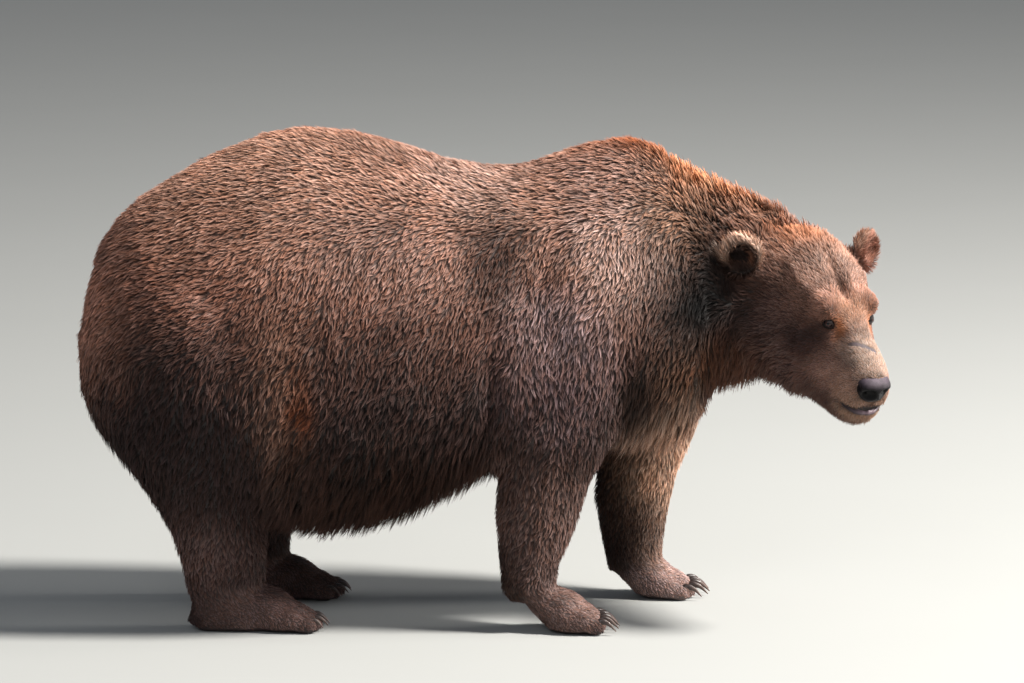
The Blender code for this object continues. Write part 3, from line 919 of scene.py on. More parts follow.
WIDE = 9.0  # a radius that takes in both sides
# The coat is paler on top and darker low down: partly its own colour, partly painted light and shade.
TOP_COAT = screen(184, 141, 121)
SIDE_COAT = screen(145, 103, 87)
LOW_COAT = screen(60, 44, 41)
MARKINGS = (
    # Back, flanks, shoulders and hump.
    Marking(screen(210, 166, 143), (-0.62, 0.0, 1.13), (0.36, 0.30, 0.10), 0.75),
    # Pale grey-pink patch over the back: partly painted sheen.
    Marking(screen(214, 178, 162), (-0.02, 0.0, 1.07), (0.16, 0.26, 0.10), 0.95),
    Marking(screen(152, 117, 104), (-0.20, 0.0, 0.89), (0.24, WIDE, 0.10), 0.75),
    Marking(screen(52, 33, 26), (0.06, 0.30, 0.90), (0.09, 0.30, 0.17), 0.85),
    # Painted sheen on the shoulder, pale grey-pink.
    Marking(screen(186, 154, 142), (0.32, 0.25, 0.92), (0.13, 0.22, 0.17), 0.95),
    Marking(screen(208, 146, 104), (0.52, 0.0, 1.06), (0.26, 0.13, 0.12), 0.95),
    # Pale patch over the hump: partly painted sheen.
    Marking(screen(160, 126, 114), (0.29, 0.15, 1.08), (0.13, 0.15, 0.09), 0.7),
    Marking(screen(160, 82, 34), (0.38, 0.0, 1.17), (0.16, 0.12, 0.07), 0.9),
    # Pale grey patch low on the shoulder: partly painted sheen.
    Marking(screen(186, 160, 158), (0.19, 0.34, 0.74), (0.11, 0.20, 0.09), 0.75),
    Marking(screen(170, 130, 106), (0.48, 0.17, 0.96), (0.11, 0.12, 0.10), 0.85),
    # Belly, thighs and the end of the rump.
    Marking(screen(58, 41, 37), (-0.24, 0.3, 0.70), (0.32, WIDE, 0.09), 0.35),
    Marking(screen(50, 29, 18), (-0.20, 0.2, 0.35), (0.70, WIDE, 0.16), 0.90),
    Marking(screen(54, 40, 38), (-0.80, 0.2, 0.50), (0.22, WIDE, 0.24), 0.92),
    Marking(screen(54, 40, 38), (-0.62, 0.30, 0.42), (0.20, 0.30, 0.26), 0.88),
    # Painted light on the end of the rump, which faces away from the lamps.
    Marking(screen(206, 152, 130), (-0.93, 0.0, 0.78), (0.14, 0.60, 0.18), 0.85),
    Marking(screen(132, 98, 82), (-0.45, 0.40, 0.62), (0.07, 0.12, 0.20), 0.80),
    Marking(screen(122, 64, 32), (-0.405, 0.40, 0.58), (0.032, 0.12, 0.07), 0.85),
    # Legs, breast and paws.
    Marking(screen(124, 98, 92), (-0.66, 0.22, 0.20), (0.16, 0.20, 0.10), 0.80),
    Marking(screen(130, 106, 106), (0.18, 0.24, 0.62), (0.16, 0.14, 0.16), 0.90),
    Marking(screen(126, 100, 92), (0.12, 0.26, 0.30), (0.13, 0.14, 0.18), 0.80),
    # Painted light on the far foreleg, which the lamps leave in shade.
    Marking(screen(240, 195, 165), (0.48, 0.17, 0.40), (0.12, 0.14, 0.25), 1.0),
    Marking(screen(48, 33, 27), (0.39, 0.20, 0.58), (0.13, 0.22, 0.13), 0.90),
    Marking(screen(150, 100, 68), (0.59, 0.06, 0.58), (0.07, 0.10, 0.12), 0.70),
    Marking(screen(158, 130, 122), (0.24, 0.24, 0.05), (0.13, 0.12, 0.07), 0.80),
    # Painted light on the far forepaw, paler than the near one.
    Marking(screen(200, 172, 166), (0.46, 0.22, 0.05), (0.13, 0.12, 0.07), 0.80),
    Marking(screen(132, 106, 100), (-0.50, 0.22, 0.05), (0.20, 0.12, 0.07), 0.80),
    # Painted shade at the wrists, over the tops of both forepaws.
    Marking(screen(70, 54, 46), (0.06, 0.24, 0.115), (0.050, 0.16, 0.035), 0.8),
    Marking(screen(60, 44, 38), (0.33, 0.18, 0.105), (0.050, 0.12, 0.035), 0.7),
    # The head, in its own frame.
    Marking(screen(172, 138, 122), (0.06, 0.0, 0.10), (0.17, 0.13, 0.10), 1.0, True),
    Marking(screen(126, 101, 95), (0.07, 0.15, -0.10), (0.13, 0.10, 0.11), 1.0, True),
    Marking(screen(160, 122, 100), (0.215, 0.015, 0.032), (0.045, 0.032, 0.045), 0.9, True),
    Marking(screen(176, 154, 140), (0.315, 0.0, -0.03), (0.11, 0.055, 0.055), 1.0, True),
    Marking(screen(164, 132, 116), (0.30, 0.055, -0.10), (0.08, 0.03, 0.04), 0.9, True),
    Marking(screen(142, 110, 98), (0.24, 0.075, -0.09), (0.06, 0.03, 0.05), 0.8, True),
    Marking(screen(56, 40, 36), (0.200, 0.088, -0.014), (0.042, 0.038, 0.030), 1.0, True),
    Marking(screen(172, 108, 66), (0.243, 0.046, 0.018), (0.022, 0.016, 0.030), 0.8, True),
    # Dark almond round the eye: partly painted shade under the brow.
    Marking(screen(42, 29, 26), (0.214, 0.072, 0.010), (0.026, 0.022, 0.014), 0.85, True),
    Marking(screen(60, 43, 40), (0.165, 0.10, -0.05), (0.055, 0.04, 0.035), 0.9, True),
    # Painted shade in the furrow between the brows.
    Marking(screen(72, 48, 38), (0.162, 0.008, 0.088), (0.030, 0.013, 0.030), 0.85, True),
    Marking(screen(120, 84, 66), (0.205, 0.052, 0.045), (0.022, 0.02, 0.018), 0.8, True),
    Marking(screen(150, 122, 104), (0.34, 0.03, -0.16), (0.06, 0.05, 0.05), 0.9, True),
    Marking(screen(96, 74, 66), (0.17, 0.05, -0.21), (0.12, 0.09, 0.05), 0.8, True),
    Marking(screen(46, 34, 32), (-0.10, 0.17, -0.06), (0.07, 0.10, 0.16), 1.0, True),
    Marking(screen(190, 112, 58), (-0.05, 0.0, 0.16), (0.10, 0.10, 0.06), 0.8, True),
    # The dark ruff behind the ears and the throat, which run over neck and head alike. The ruff's
    # near-black is partly its own colour and partly painted shadow of the head and ears.
    Marking(screen(10, 7, 7), (0.540, 0.22, 0.80), (0.176, 0.25, 0.220), 1.0, False, True),
    Marking(screen(84, 52, 34), (0.57, 0.10, 0.63), (0.15, 0.30, 0.07), 0.85, False, True),
)


@dataclass(frozen=True)
class Scar:
    """A healed scratch across the bridge of the nose, bare and grey, in the head's frame."""

    start: Triple = (0.267, -0.049, -0.010)
    end: Triple = (0.323, 0.014, -0.018)
    bend: Triple = (0.003, -0.004, 0.008)
    half_width: float = 0.0037
    on_hair: Colour = screen(52, 43, 48)
    on_skin: Colour = (0.11, 0.08, 0.14)

    def weight(self, head: Floats) -> Floats:
        """How near places are to the scar.

        Args:
            head: places in the head's frame.

        Returns:
            A number from 0 to 1 for each.
        """
        start, end, bend = (np.array(v) for v in (self.start, self.end, self.bend))
        along = np.clip(dot(head - start, end - start)[:, 0] / ((end - start) ** 2).sum(), 0, 1)
        line = start + along[:, None] * (end - start) + (np.sin(along * math.pi))[:, None] * bend
        away = np.linalg.norm((head - line) * np.array([1.0, 1.0, 0.4]), axis=1)
        return np.exp(-((away / self.half_width) ** 2)) * smooth(along, 0.0, 0.15)


SCAR = Scar()


@dataclass
class Pelt:
    """What the coat is like at each point of a surface."""

    surface: Surface
    parts: Whole
    weights: Floats = field(init=False)
    head: Floats = field(init=False)

    def __post_init__(self) -> None:
        """Softens the borders between the parts."""
        sharp = np.eye(len(Part))[self.parts]
        self.weights = self.surface.blur(sharp, 14)
        for part in (Part.EAR, Part.PAW):
            self.weights[:, part.value] = self.surface.blur(sharp[:, [part.value]], 3)[:, 0]
        self.weights /= self.weights.sum(axis=1, keepdims=True)
        self.head = to_head(self.surface.points)

    def _blend(self, values: dict[Part, Floats | float]) -> Floats:
        """Mixes values by how much each point belongs to each part.

        Args:
            values: a value, or one for each point, of each part.

        Returns:
            The mixed value at each point.
        """
        total = 0.0
        for part, value in values.items():
            total = total + self.weights[:, part.value] * value
        return total

    def length(self) -> Floats:
        """Length of the hair.

        Returns:
            The length at each point.
        """
        z, up = self.surface.points[:, 2], self.surface.normals[:, 2]
        hx, _, hz = self.head.T
        down = smooth(-up, 0.15, 0.75)
        trunk = 0.025 + 0.016 * down + 0.008 * (1 - smooth(z, 0.4, 0.8))
        stations = [-0.12, -0.02, 0.06, 0.14, 0.20, 0.25, 0.33]
        millimetres = [34, 27, 20, 14, 9.5, 7.5, 6]
        face = np.interp(hx, stations, millimetres) / 1000
        cheek = (1 - smooth(hx, 0.10, 0.24)) * smooth(-hz, 0.02, 0.12)
        jaw = smooth(-hz, 0.15, 0.19) * smooth(hx, 0.0, 0.1)
        face = face + 0.010 * cheek + 0.006 * jaw * (1 - smooth(hx, 0.33, 0.37))
        face = face * (1 + self._near_eye(0.026) * (-0.40 + 0.75 * smooth(hz, 0.012, 0.024)))
        leg = np.interp(z, [0.10, 0.20, 0.40, 0.62], [0.014, 0.018, 0.024, 0.030])
        neck = 0.030 + 0.012 * (1 - smooth(z, 0.62, 0.80)) + 0.010 * smooth(up, 0.4, 0.8)
        return self._blend(
            {
                Part.TRUNK: trunk,
                Part.NECK: neck,
                Part.HEAD: face,
                Part.FORELEG: leg,
                Part.HINDLEG: leg + 0.004,
                Part.PAW: 0.0075 + 0.007 * smooth(z, 0.05, 0.11),
                Part.EAR: 0.017 + 0.005 * smooth(hz, 0.08, 0.13),
                Part.TAIL: 0.050,
            }
        )

    def stand(self) -> Floats:
        """How far the hair stands up from the skin.

        Returns:
            A number from 0 to 1 for each point.
        """
        x, up = self.surface.points[:, 0], self.surface.normals[:, 2]
        hx, hy, hz = self.head.T
        crest = smooth(up, 0.35, 0.85) * smooth(x, 0.30, 0.46)
        trunk = 0.10 + 0.30 * crest + 0.10 * smooth(up, 0.5, 0.9) + 0.16 * smooth(-up, 0.3, 0.8)
        brow = np.exp(-(((hx - 0.17) / 0.03) ** 2) - ((np.abs(hy) - 0.05) / 0.03) ** 2)
        brow = brow * smooth(hz, 0.0, 0.03)
        over_eye = self._near_eye(0.022) * smooth(hz, 0.014, 0.024)
        nape = smooth(hz, 0.06, 0.12) * (1 - smooth(hx, -0.04, 0.08))
        chin = smooth(-hz, 0.16, 0.20)
        return self._blend(
            {
                Part.TRUNK: trunk,
                Part.NECK: 0.14 + 0.55 * crest,
                Part.HEAD: 0.08 + 0.12 * brow + 0.34 * over_eye + 0.45 * nape + 0.15 * chin,
                Part.FORELEG: 0.12,
                Part.HINDLEG: 0.12,
                Part.PAW: 0.08,
                Part.EAR: 0.50,
                Part.TAIL: 0.30,
            }
        )

    def depth(self) -> Floats:
        """How far the skin lies under the tips of the coat.

        Returns:
            The depth at each point.
        """
        deep = self.length() * (0.27 + 0.72 * self.stand()) * 0.92
        deep += self.weights[:, Part.EAR.value] * (0.005 - deep)
        sole = smooth(self.surface.points[:, 2], 0.004, 0.035)
        return deep * sole * (1 - 0.85 * self.bare())

    def _near_eye(self, reach: float) -> Floats:
        """How near each point is to an eye.

        Args:
            reach: how far from the eye's middle it falls off.

        Returns:
            1 at the eyes and 0 well beyond the reach.
        """
        near = 0.0
        for side in (-1, 1):
            away = (self.head - np.array(EYE_SPOT) * [1, side, 1]) * [1, 1, 1.2]
            near = near + np.exp(-((np.linalg.norm(away, axis=1) / reach) ** 4))
        return near

    def _near_lips(self, reach: float, lower: float = 0.0) -> Floats:
        """How near each point is to the open mouth.

        Args:
            reach: how far above and below it falls off.
            lower: how far under the mouth's line its middle lies.

        Returns:
            1 on the lips and 0 well beyond the reach.
        """
        hx, _, hz = self.head.T
        mouth = Mouth()
        above = hz - mouth.height(hx) + lower
        return np.exp(-((above / reach) ** 4)) * mouth.open(hx)

    def bare(self) -> Floats:
        """Where the skin shows: on soles, round the eyes, at the nose, on the lips and on the scar.

        Returns:
            1 where it is bare and 0 under the coat.
        """
        hx, hy, hz = self.head.T
        points, normals = self.surface.points, self.surface.normals
        lips = self._near_lips(0.0105, 0.001)
        nose = smooth(hx, 0.348, 0.358) * smooth(hz, -0.128, -0.118)
        nose *= 1 - smooth(np.abs(hy), 0.030, 0.038)
        nose *= 1 - smooth(hz + 0.15 * (hx - 0.36), -0.078, -0.068)
        sole = (1 - smooth(points[:, 2], 0.008, 0.016)) * smooth(-normals[:, 2], 0.0, 0.4)
        scar = SCAR.weight(self.head) + SCAR.weight(self.head - [0.004, 0.0, 0.0])
        return np.clip(self._near_eye(0.0118) + lips + nose + sole + scar, 0, 1)

    def lie(self) -> Floats:
        """Which way the hair lies.

        Returns:
            The direction at each point, along the surface.
        """
        points, normals = self.surface.points, self.surface.normals
        x, _, z = points.T
        fall = 12 + 50 * (1 - smooth(z, 0.90, 1.02))
        rump = 24 + 40 * (1 - smooth(z, 0.42, 0.80))
        fall += (rump - fall) * (1 - smooth(x, -0.75, -0.42))
        fall = fall + 14 * noise(points, 0.16, 11)
        fall[x > 0.15] += 4
        nape = -12 + 26 * (1 - smooth(z, 0.78, 0.98)) + 45 * (1 - smooth(z, 0.60, 0.76))
        nape = nape + 10 * noise(points, 0.10, 12)
        total = self.weights[:, [Part.TRUNK.value]] * self._falling(fall)
        total += self.weights[:, [Part.NECK.value]] * self._falling(nape)
        total += self.weights[:, [Part.HEAD.value]] * self._over_head()
        legs = self.weights[:, Part.FORELEG.value] + self.weights[:, Part.HINDLEG.value]
        total += legs[:, None] * self._falling(78 + 10 * noise(points, 0.12, 13))
        total += self.weights[:, [Part.PAW.value]] * np.array([0.75, 0.0, -0.65])
        total += self.weights[:, [Part.TAIL.value]] * np.array([-0.45, 0.0, -0.9])
        total += self.weights[:, [Part.EAR.value]] * self._up_the_ear()
        total = total - normals * dot(total, normals)
        total = self.surface.blur(unit(total + 1e-4), 6)
        return unit(total - normals * dot(total, normals))

    @staticmethod
    def _falling(angle: Floats) -> Floats:
        """Tailwards, this many degrees below level."""
        fall = np.radians(angle)
        return np.stack([-np.cos(fall), np.zeros_like(fall), -np.sin(fall)], axis=1)

    def _over_head(self) -> Floats:
        """From the nose back over the face, down the cheeks and off the jaw.

        Returns:
            The direction at each point.
        """
        hx, hy, hz = self.head.T
        side = np.sign(hy)
        spread = 0.45 * smooth(hz, 0.02, 0.08) * smooth(np.abs(hy), 0.005, 0.05)
        sag = -0.20 - 0.9 * smooth(-hz, 0.03, 0.16) + 0.6 * smooth(hz, 0.0, 0.08)
        sag = sag * (1 - smooth(hx, 0.24, 0.34) * 0.6)
        flow = np.stack([np.full_like(hx, -1.0), side * spread, sag], axis=1)
        for eye in (-1.0, 1.0):
            away = self.head - np.array(PARTING) * [1, eye, 1]
            near = np.exp(-((np.linalg.norm(away, axis=1) / 0.030) ** 2))
            turn = 1.3 - 2.3 * smooth(away[:, 2], 0.002, 0.010)
            flow += (near * turn)[:, None] * unit(away)
        return flow @ HEAD_AXES.T

    def _up_the_ear(self) -> Floats:
        """Out from the head towards the rim of the ear."""
        out = np.array([-0.1, 0.55, 0.83]) * np.where(self.head[:, [1]] < 0, [1, -1, 1], 1)
        return out @ HEAD_AXES.T

    def tint(self, scar: Colour) -> Floats:
        """Colour of the hair's outer part at each point.

        Args:
            scar: the colour to show at the scar.

        Returns:
            A colour for each point.
        """
        points = self.surface.points
        shift = np.stack([noise(points, 0.10, seed) for seed in (21, 22, 23)], axis=1)
        fine = np.stack([noise(points, 0.028, seed) for seed in (24, 25, 26)], axis=1)
        body = points + 0.035 * shift + 0.012 * fine
        head = self.head + 0.010 * shift + 0.005 * fine
        z = body[:, 2]
        high = smooth(z, 0.80, 1.06)[:, None]
        low = (1 - smooth(z, 0.52, 0.90))[:, None]
        colour = np.array(SIDE_COAT) * (1 - high) + np.array(TOP_COAT) * high
        colour = colour * (1 - low) + np.array(LOW_COAT) * low
        near_head = self.weights[:, Part.HEAD.value] + self.weights[:, Part.EAR.value]
        for marking in MARKINGS:
            weight = marking.weight(body, head)
            if marking.on_head:
                weight = weight * smooth(near_head, 0.1, 0.6)
            elif not marking.over_head:
                weight = weight * (1 - smooth(near_head, 0.5, 0.9))
            colour += weight[:, None] * (np.array(marking.colour) - colour)
        lips = self._near_lips(0.011)[:, None]
        colour += 0.95 * lips * (np.array(screen(34, 14, 14)) - colour)
        colour = self._ear_colours(colour)
        colour += 0.9 * SCAR.weight(self.head)[:, None] * (np.array(scar) - colour)
        mottle = 1 + 0.16 * noise(points, 0.045, 31) + 0.12 * noise(points, 0.016, 32)
        mottle += 0.30 * self.weights[:, Part.TRUNK.value] * self._streaks(0.10, 0.018, 45, 33)
        mottle += 0.30 * self.weights[:, Part.FORELEG.value] * self._streaks(0.05, 0.014, 5, 34)
        mottle += 0.26 * self.weights[:, Part.HEAD.value] * self._streaks(0.045, 0.011, 25, 35)
        return np.clip(colour * np.maximum(mottle, 0.3)[:, None], 0.002, 1.0)

    def _streaks(self, long: float, wide: float, rise: float, seed: int) -> Floats:
        """Noise drawn out along one direction, for wet strands that hang together.

        Args:
            long: its size along the streaks.
            wide: its size across them.
            rise: the streaks' angle above level, seen from the side.
            seed: the noise's seed.

        Returns:
            A number from -1 to 1 for each point.
        """
        x, y, z = self.surface.points.T
        turn = math.radians(rise)
        along = (x * math.cos(turn) + z * math.sin(turn)) / long
        across = (z * math.cos(turn) - x * math.sin(turn)) / wide
        return noise(np.stack([along, y / long, across], axis=1), 1.0, seed)

    def _ear_colours(self, colour: Floats) -> Floats:
        """Paints pale rims and dark hollows on the ears, the near ear's hollow in painted shade.

        Args:
            colour: the colour of each point.

        Returns:
            The same colours, changed on the ears.
        """
        _, hy, hz = self.head.T
        on_ear = self.weights[:, Part.EAR.value]
        middle = np.stack([np.sign(hy) * 0.174, np.where(hy > 0, 0.083, 0.097)], axis=1)
        away = np.linalg.norm(self.head[:, 1:] - middle, axis=1)
        facing = self.surface.normals @ HEAD_AXES @ np.array([0.9, 0.0, 0.2])
        front = smooth(facing, 0.0, 0.5) * (1 - smooth(away, 0.024, 0.038))
        back = np.array(screen(146, 100, 76))
        rim = np.array(screen(224, 194, 174))
        # The near ear's hollow is painted shade; the far ear's keeps the tan of its hair.
        hollow = np.where(hy[:, None] > 0, screen(158, 114, 98), screen(34, 25, 23))
        inner = np.maximum(front, 0.95 * (1 - smooth(hz, 0.064, 0.098)))
        made = back + (hollow - back) * inner[:, None]
        edge = smooth(away, 0.026, 0.038) * smooth(hz, 0.066, 0.100)
        made = made + (rim - made) * edge[:, None]
        return colour + on_ear[:, None] * (made - colour)


# ---------------------------------------------------------------- the skin


@dataclass(frozen=True)
class Fold:
    """A soft push on the skin. Its centre, radii and move are in the bear's or the head's frame."""

    centre: Triple
    radii: Triple
    move: Triple
    on_head: bool = False
    both: bool = True

    def press(self, points: Floats) -> Floats:
        """Pushes the points near the fold.

        Args:
            points: places in the bear's frame.

        Returns:
            The pushed places.
        """
        places = to_head(points) if self.on_head else points.copy()
        for side in (1, -1) if self.both else (1,):
            mirror = np.array([1, side, 1])
            away = ((places - np.array(self.centre) * mirror) / np.array(self.radii)) ** 2
            places = places + np.exp(-away.sum(axis=1))[:, None] * np.array(self.move) * mirror
        return from_head(places) if self.on_head else places


FOLDS = (
    # Brow ridges over the eyes, and the hollows before, beside and under them.
    Fold((0.200, 0.055, 0.050), (0.032, 0.026, 0.021), (0.015, 0.009, 0.003), True),
    Fold((0.244, 0.058, 0.016), (0.018, 0.020, 0.020), (-0.008, -0.007, 0.0), True),
    Fold((0.205, 0.090, -0.018), (0.035, 0.030, 0.020), (-0.003, -0.009, 0.002), True),
    Fold((0.280, 0.062, -0.045), (0.045, 0.030, 0.028), (0.0, -0.009, 0.0), True),
    Fold((0.262, 0.050, -0.008), (0.028, 0.024, 0.022), (-0.003, -0.009, -0.004), True),
    # Cheeks, temples and the pads of the upper lip.
    Fold((0.140, 0.125, -0.020), (0.045, 0.030, 0.028), (0.0, 0.008, 0.0), True),
    Fold((0.120, 0.105, 0.045), (0.045, 0.030, 0.030), (0.0, -0.006, -0.003), True),
    Fold((0.325, 0.060, -0.112), (0.035, 0.030, 0.026), (0.0, 0.004, 0.0), True),
    # The furrow down the forehead, deepest between the brows.
    Fold((0.178, 0.0, 0.078), (0.030, 0.013, 0.030), (-0.012, 0.0, -0.012), True, False),
    Fold((0.110, 0.0, 0.110), (0.060, 0.011, 0.030), (-0.002, 0.0, -0.009), True, False),
    # The seat of the nose pad.
    Fold((0.372, 0.0, -0.094), (0.036, 0.038, 0.034), (-0.030, 0.0, 0.0), True, False),
    # The front of the lips and of the lower jaw, behind the nose.
    Fold((0.378, 0.0, -0.136), (0.030, 0.055, 0.020), (-0.010, 0.0, 0.0), True, False),
    Fold((0.365, 0.0, -0.172), (0.045, 0.070, 0.036), (-0.015, 0.0, 0.003), True, False),
    # The ears, a little lower.
    Fold((-0.022, -0.174, 0.110), (0.060, 0.060, 0.060), (0.0, 0.0, -0.009), True, False),
    Fold((-0.022, 0.174, 0.100), (0.060, 0.060, 0.060), (0.0, 0.0, -0.015), True, False),
    # The toe ends and the near heel.
    Fold((0.330, -0.24, 0.03), (0.060, 0.10, 0.07), (-0.022, 0.0, 0.0), False, False),
    Fold((0.545, 0.22, 0.03), (0.060, 0.10, 0.07), (-0.012, 0.0, 0.0), False, False),
    Fold((-0.722, -0.207, 0.03), (0.050, 0.10, 0.05), (0.020, 0.0, 0.0), False, False),
    # Creases between belly and thigh, behind the elbow and before the shoulder.
    Fold((-0.430, 0.40, 0.42), (0.028, 0.12, 0.11), (0.0, -0.030, 0.0)),
    Fold((0.030, 0.36, 0.55), (0.026, 0.12, 0.12), (0.0, -0.028, 0.0)),
    Fold((0.350, 0.25, 0.56), (0.030, 0.10, 0.11), (0.0, -0.022, 0.0)),
)


@dataclass
class Skin:
    """The one skin that stands for all flesh, inside the tips of the coat."""

    voxel: float = 0.0048
    triangles: int = 172_000
    fine_centre: Triple = (0.20, 0.0, -0.03)
    fine_radius: float = 0.30
    pelt: Pelt = field(init=False)
    piece: bpy.types.Object = field(init=False)

    def build(self) -> bpy.types.Object:
        """Makes the skin.

        Returns:
            Its object.
        """
        piece = copy_nodes("skin", (*FLESH, "nose", "eye_right", "eye_left"))
        apply_modifier(piece, "REMESH", mode="VOXEL", voxel_size=self.voxel)
        keep_largest(piece)
        apply_modifier(piece, "SMOOTH", factor=0.5, iterations=3)
        outer = Pelt(Surface(piece.data), self._parts(points_of(piece.data)))
        depth = outer.surface.blur(outer.depth()[:, None], 4)
        inward = outer.surface.blur(outer.surface.normals, 3)
        points = outer.surface.points - depth * unit(inward)
        for fold in FOLDS:
            points = fold.press(points)
        for side in (-1, 1):
            points = Eye(side).press(points)
        points = Mouth().press(points)
        for paw in PAWS:
            points = Claws(paw).press(points)
        points[:, 2] = np.maximum(points[:, 2], FLOOR_CLEARANCE)
        set_points(piece.data, points)
        apply_modifier(piece, "SMOOTH", factor=0.5, iterations=3)
        self._thin(piece)
        self.piece = piece
        self.pelt = Pelt(Surface(piece.data), self._parts(points_of(piece.data)))
        write_colours(piece.data, "tint", self.pelt.tint(SCAR.on_skin))
        piece.data.materials.clear()
        piece.data.materials.append(SkinFinish("skin").make())
        piece.data.shade_smooth()
        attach(piece, BODY)
        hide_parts(*FLESH)
        return piece

    def _thin(self, piece: bpy.types.Object) -> None:
        """Thins the skin's mesh, least on the head.

        Args:
            piece: the skin.
        """
        places = to_head(points_of(piece.data)) - np.array(self.fine_centre)
        away = np.linalg.norm(places, axis=1) / self.fine_radius
        weight = np.clip(0.15 + 0.85 * smooth(away, 0.6, 1.2), 0, 1)
        group = piece.vertex_groups.new(name="thin")
        for step in range(11):
            chosen = np.nonzero(np.abs(weight - step / 10) <= 0.05)[0]
            group.add([int(i) for i in chosen], step / 10, "REPLACE")
        ratio = min(self.triangles / (2 * len(piece.data.polygons)), 1.0)
        apply_modifier(
            piece, "DECIMATE", ratio=ratio, vertex_group="thin", vertex_group_factor=1.0
        )
        piece.vertex_groups.clear()

    @staticmethod
    def _parts(points: Floats) -> Whole:
        """Finds which part of the bear each point is on.

        Args:
            points: places on the skin.

        Returns:
            The number of the part that the nearest solid belongs to.
        """
        corners: list[Vector] = []
        faces: list[tuple[int, ...]] = []
        owners: list[int] = []
        for node in FLESH:
            mesh = frame["nodes"][node].data
            start = len(corners)
            corners += [vertex.co.copy() for vertex in mesh.vertices]
            faces += [tuple(start + i for i in face.vertices) for face in mesh.polygons]
            owners += [Part.of(node).value] * len(mesh.polygons)
        tree = BVHTree.FromPolygons(corners, faces)
        return np.array([owners[tree.find_nearest(point)[2]] for point in points], np.int64)


# ---------------------------------------------------------------- the coat


class Unwrap(Enum):
    """How a region of the skin is laid out flat."""

    BARREL = "round an axis"
    DOME = "out from a pole"


@dataclass(frozen=True)
class FlatMap:
    """The flat map of a region. Its centre may be in the head's frame."""

    unwrap: Unwrap
    centre: Triple
    axis: Triple
    on_head: bool = False

    def lay(self, points: Floats) -> Floats:
        """Lays places out flat.

        Args:
            points: places in the bear's frame.

        Returns:
            Where each lies on the map, from 0 to 1.
        """
        places = (to_head(points) if self.on_head else points) - np.array(self.centre)
        axis = unit(np.array(self.axis))
        side = unit(np.cross(axis, [0.12, 0.31, 0.94]))
        third = np.cross(axis, side)
        along, across, over = (places @ v for v in (axis, side, third))
        angle = np.arctan2(over, across)
        if self.unwrap is Unwrap.BARREL:
            u, v = along, angle
        else:
            tilt = np.arctan2(np.hypot(across, over), along)
            u, v = tilt * np.cos(angle), tilt * np.sin(angle)
        made = np.stack([u, v], axis=1)
        low, high = made.min(axis=0), made.max(axis=0)
        return 0.01 + 0.98 * (made - low) / (high - low)


@dataclass(frozen=True)
class Growth:
    """The strands of a stretch of coat.

    segments is how many straight lengths make a strand, cover how many strands lie over each place,
    broad a factor on their width, and even how alike they are in shade, from 0 to 1.
    """

    segments: int
    cover: float
    broad: float = 1.0
    even: float = 0.0


@dataclass(frozen=True)
class Region:
    """A stretch of the coat that makes one piece."""

    name: str
    parts: tuple[Part, ...]
    keep: Test
    growth: Growth
    flat: FlatMap


FAR = 2.0  # past either end of the bear


def sides(low: float = -FAR, high: float = FAR, on_head: bool = False) -> tuple[Test, Test]:
    """Chooses the right and the left side between two stations.

    Args:
        low: the station nearer the tail.
        high: the station nearer the nose.
        on_head: whether the sides and the stations are the head's own.

    Returns:
        Two tests of places in the bear's and in the head's frame.
    """

    def side(sign: int, body: Floats, head: Floats) -> NDArray[np.bool_]:
        """Whether each place is on this side and between the stations."""
        x, y, _ = (head if on_head else body).T
        return (y * sign >= 0) & (x >= low) & (x < high)

    return partial(side, -1), partial(side, 1)


def pair(
    name: str,
    parts: tuple[Part, ...],
    tests: tuple[Test, Test],
    growth: Growth,
    maps: tuple[FlatMap, FlatMap],
) -> tuple[Region, ...]:
    """The right and the left piece of a stretch of coat.

    Args:
        name: the stretch.
        parts: the parts of the bear that it is on.
        tests: which places of them belong to the right and to the left piece.
        growth: its strands.
        maps: the flat map of each piece.

    Returns:
        Both regions.
    """
    return tuple(
        Region(f"coat_{name}_{side}", parts, test, growth, flat)
        for side, test, flat in zip(("right", "left"), tests, maps)
    )


RUMP_EDGE = -0.45
SHOULDER_EDGE = 0.02
MUZZLE_EDGE = 0.16
TRUNK_PARTS = (Part.TRUNK, Part.TAIL)
LEVEL = (1, 0, 0)
UPRIGHT = (0, 0, 1)
FLANK_MAP = FlatMap(Unwrap.BARREL, (0, 0, 0.70), LEVEL)
SHOULDER_MAP = FlatMap(Unwrap.BARREL, (0, 0, 0.75), LEVEL)
NECK_MAP = FlatMap(Unwrap.BARREL, (0, 0, 0.82), LEVEL)
HEAD_MAP = FlatMap(Unwrap.BARREL, (0, 0, -0.04), LEVEL, True)
MUZZLE_MAP = FlatMap(Unwrap.BARREL, (0, 0, -0.09), LEVEL, True)
TRUNK_HAIR = Growth(2, 2.0)
NECK_HAIR = Growth(3, 3.0)
HEAD_HAIR = Growth(2, 2.8, 0.8, 0.15)
MUZZLE_HAIR = Growth(2, 2.1, 0.95, 0.60)
EAR_HAIR = Growth(2, 4.0, 0.75, 0.3)
LEG_HAIR = Growth(2, 1.9, 1.25, 0.12)
PAW_HAIR = Growth(2, 1.4, 1.4, 0.4)
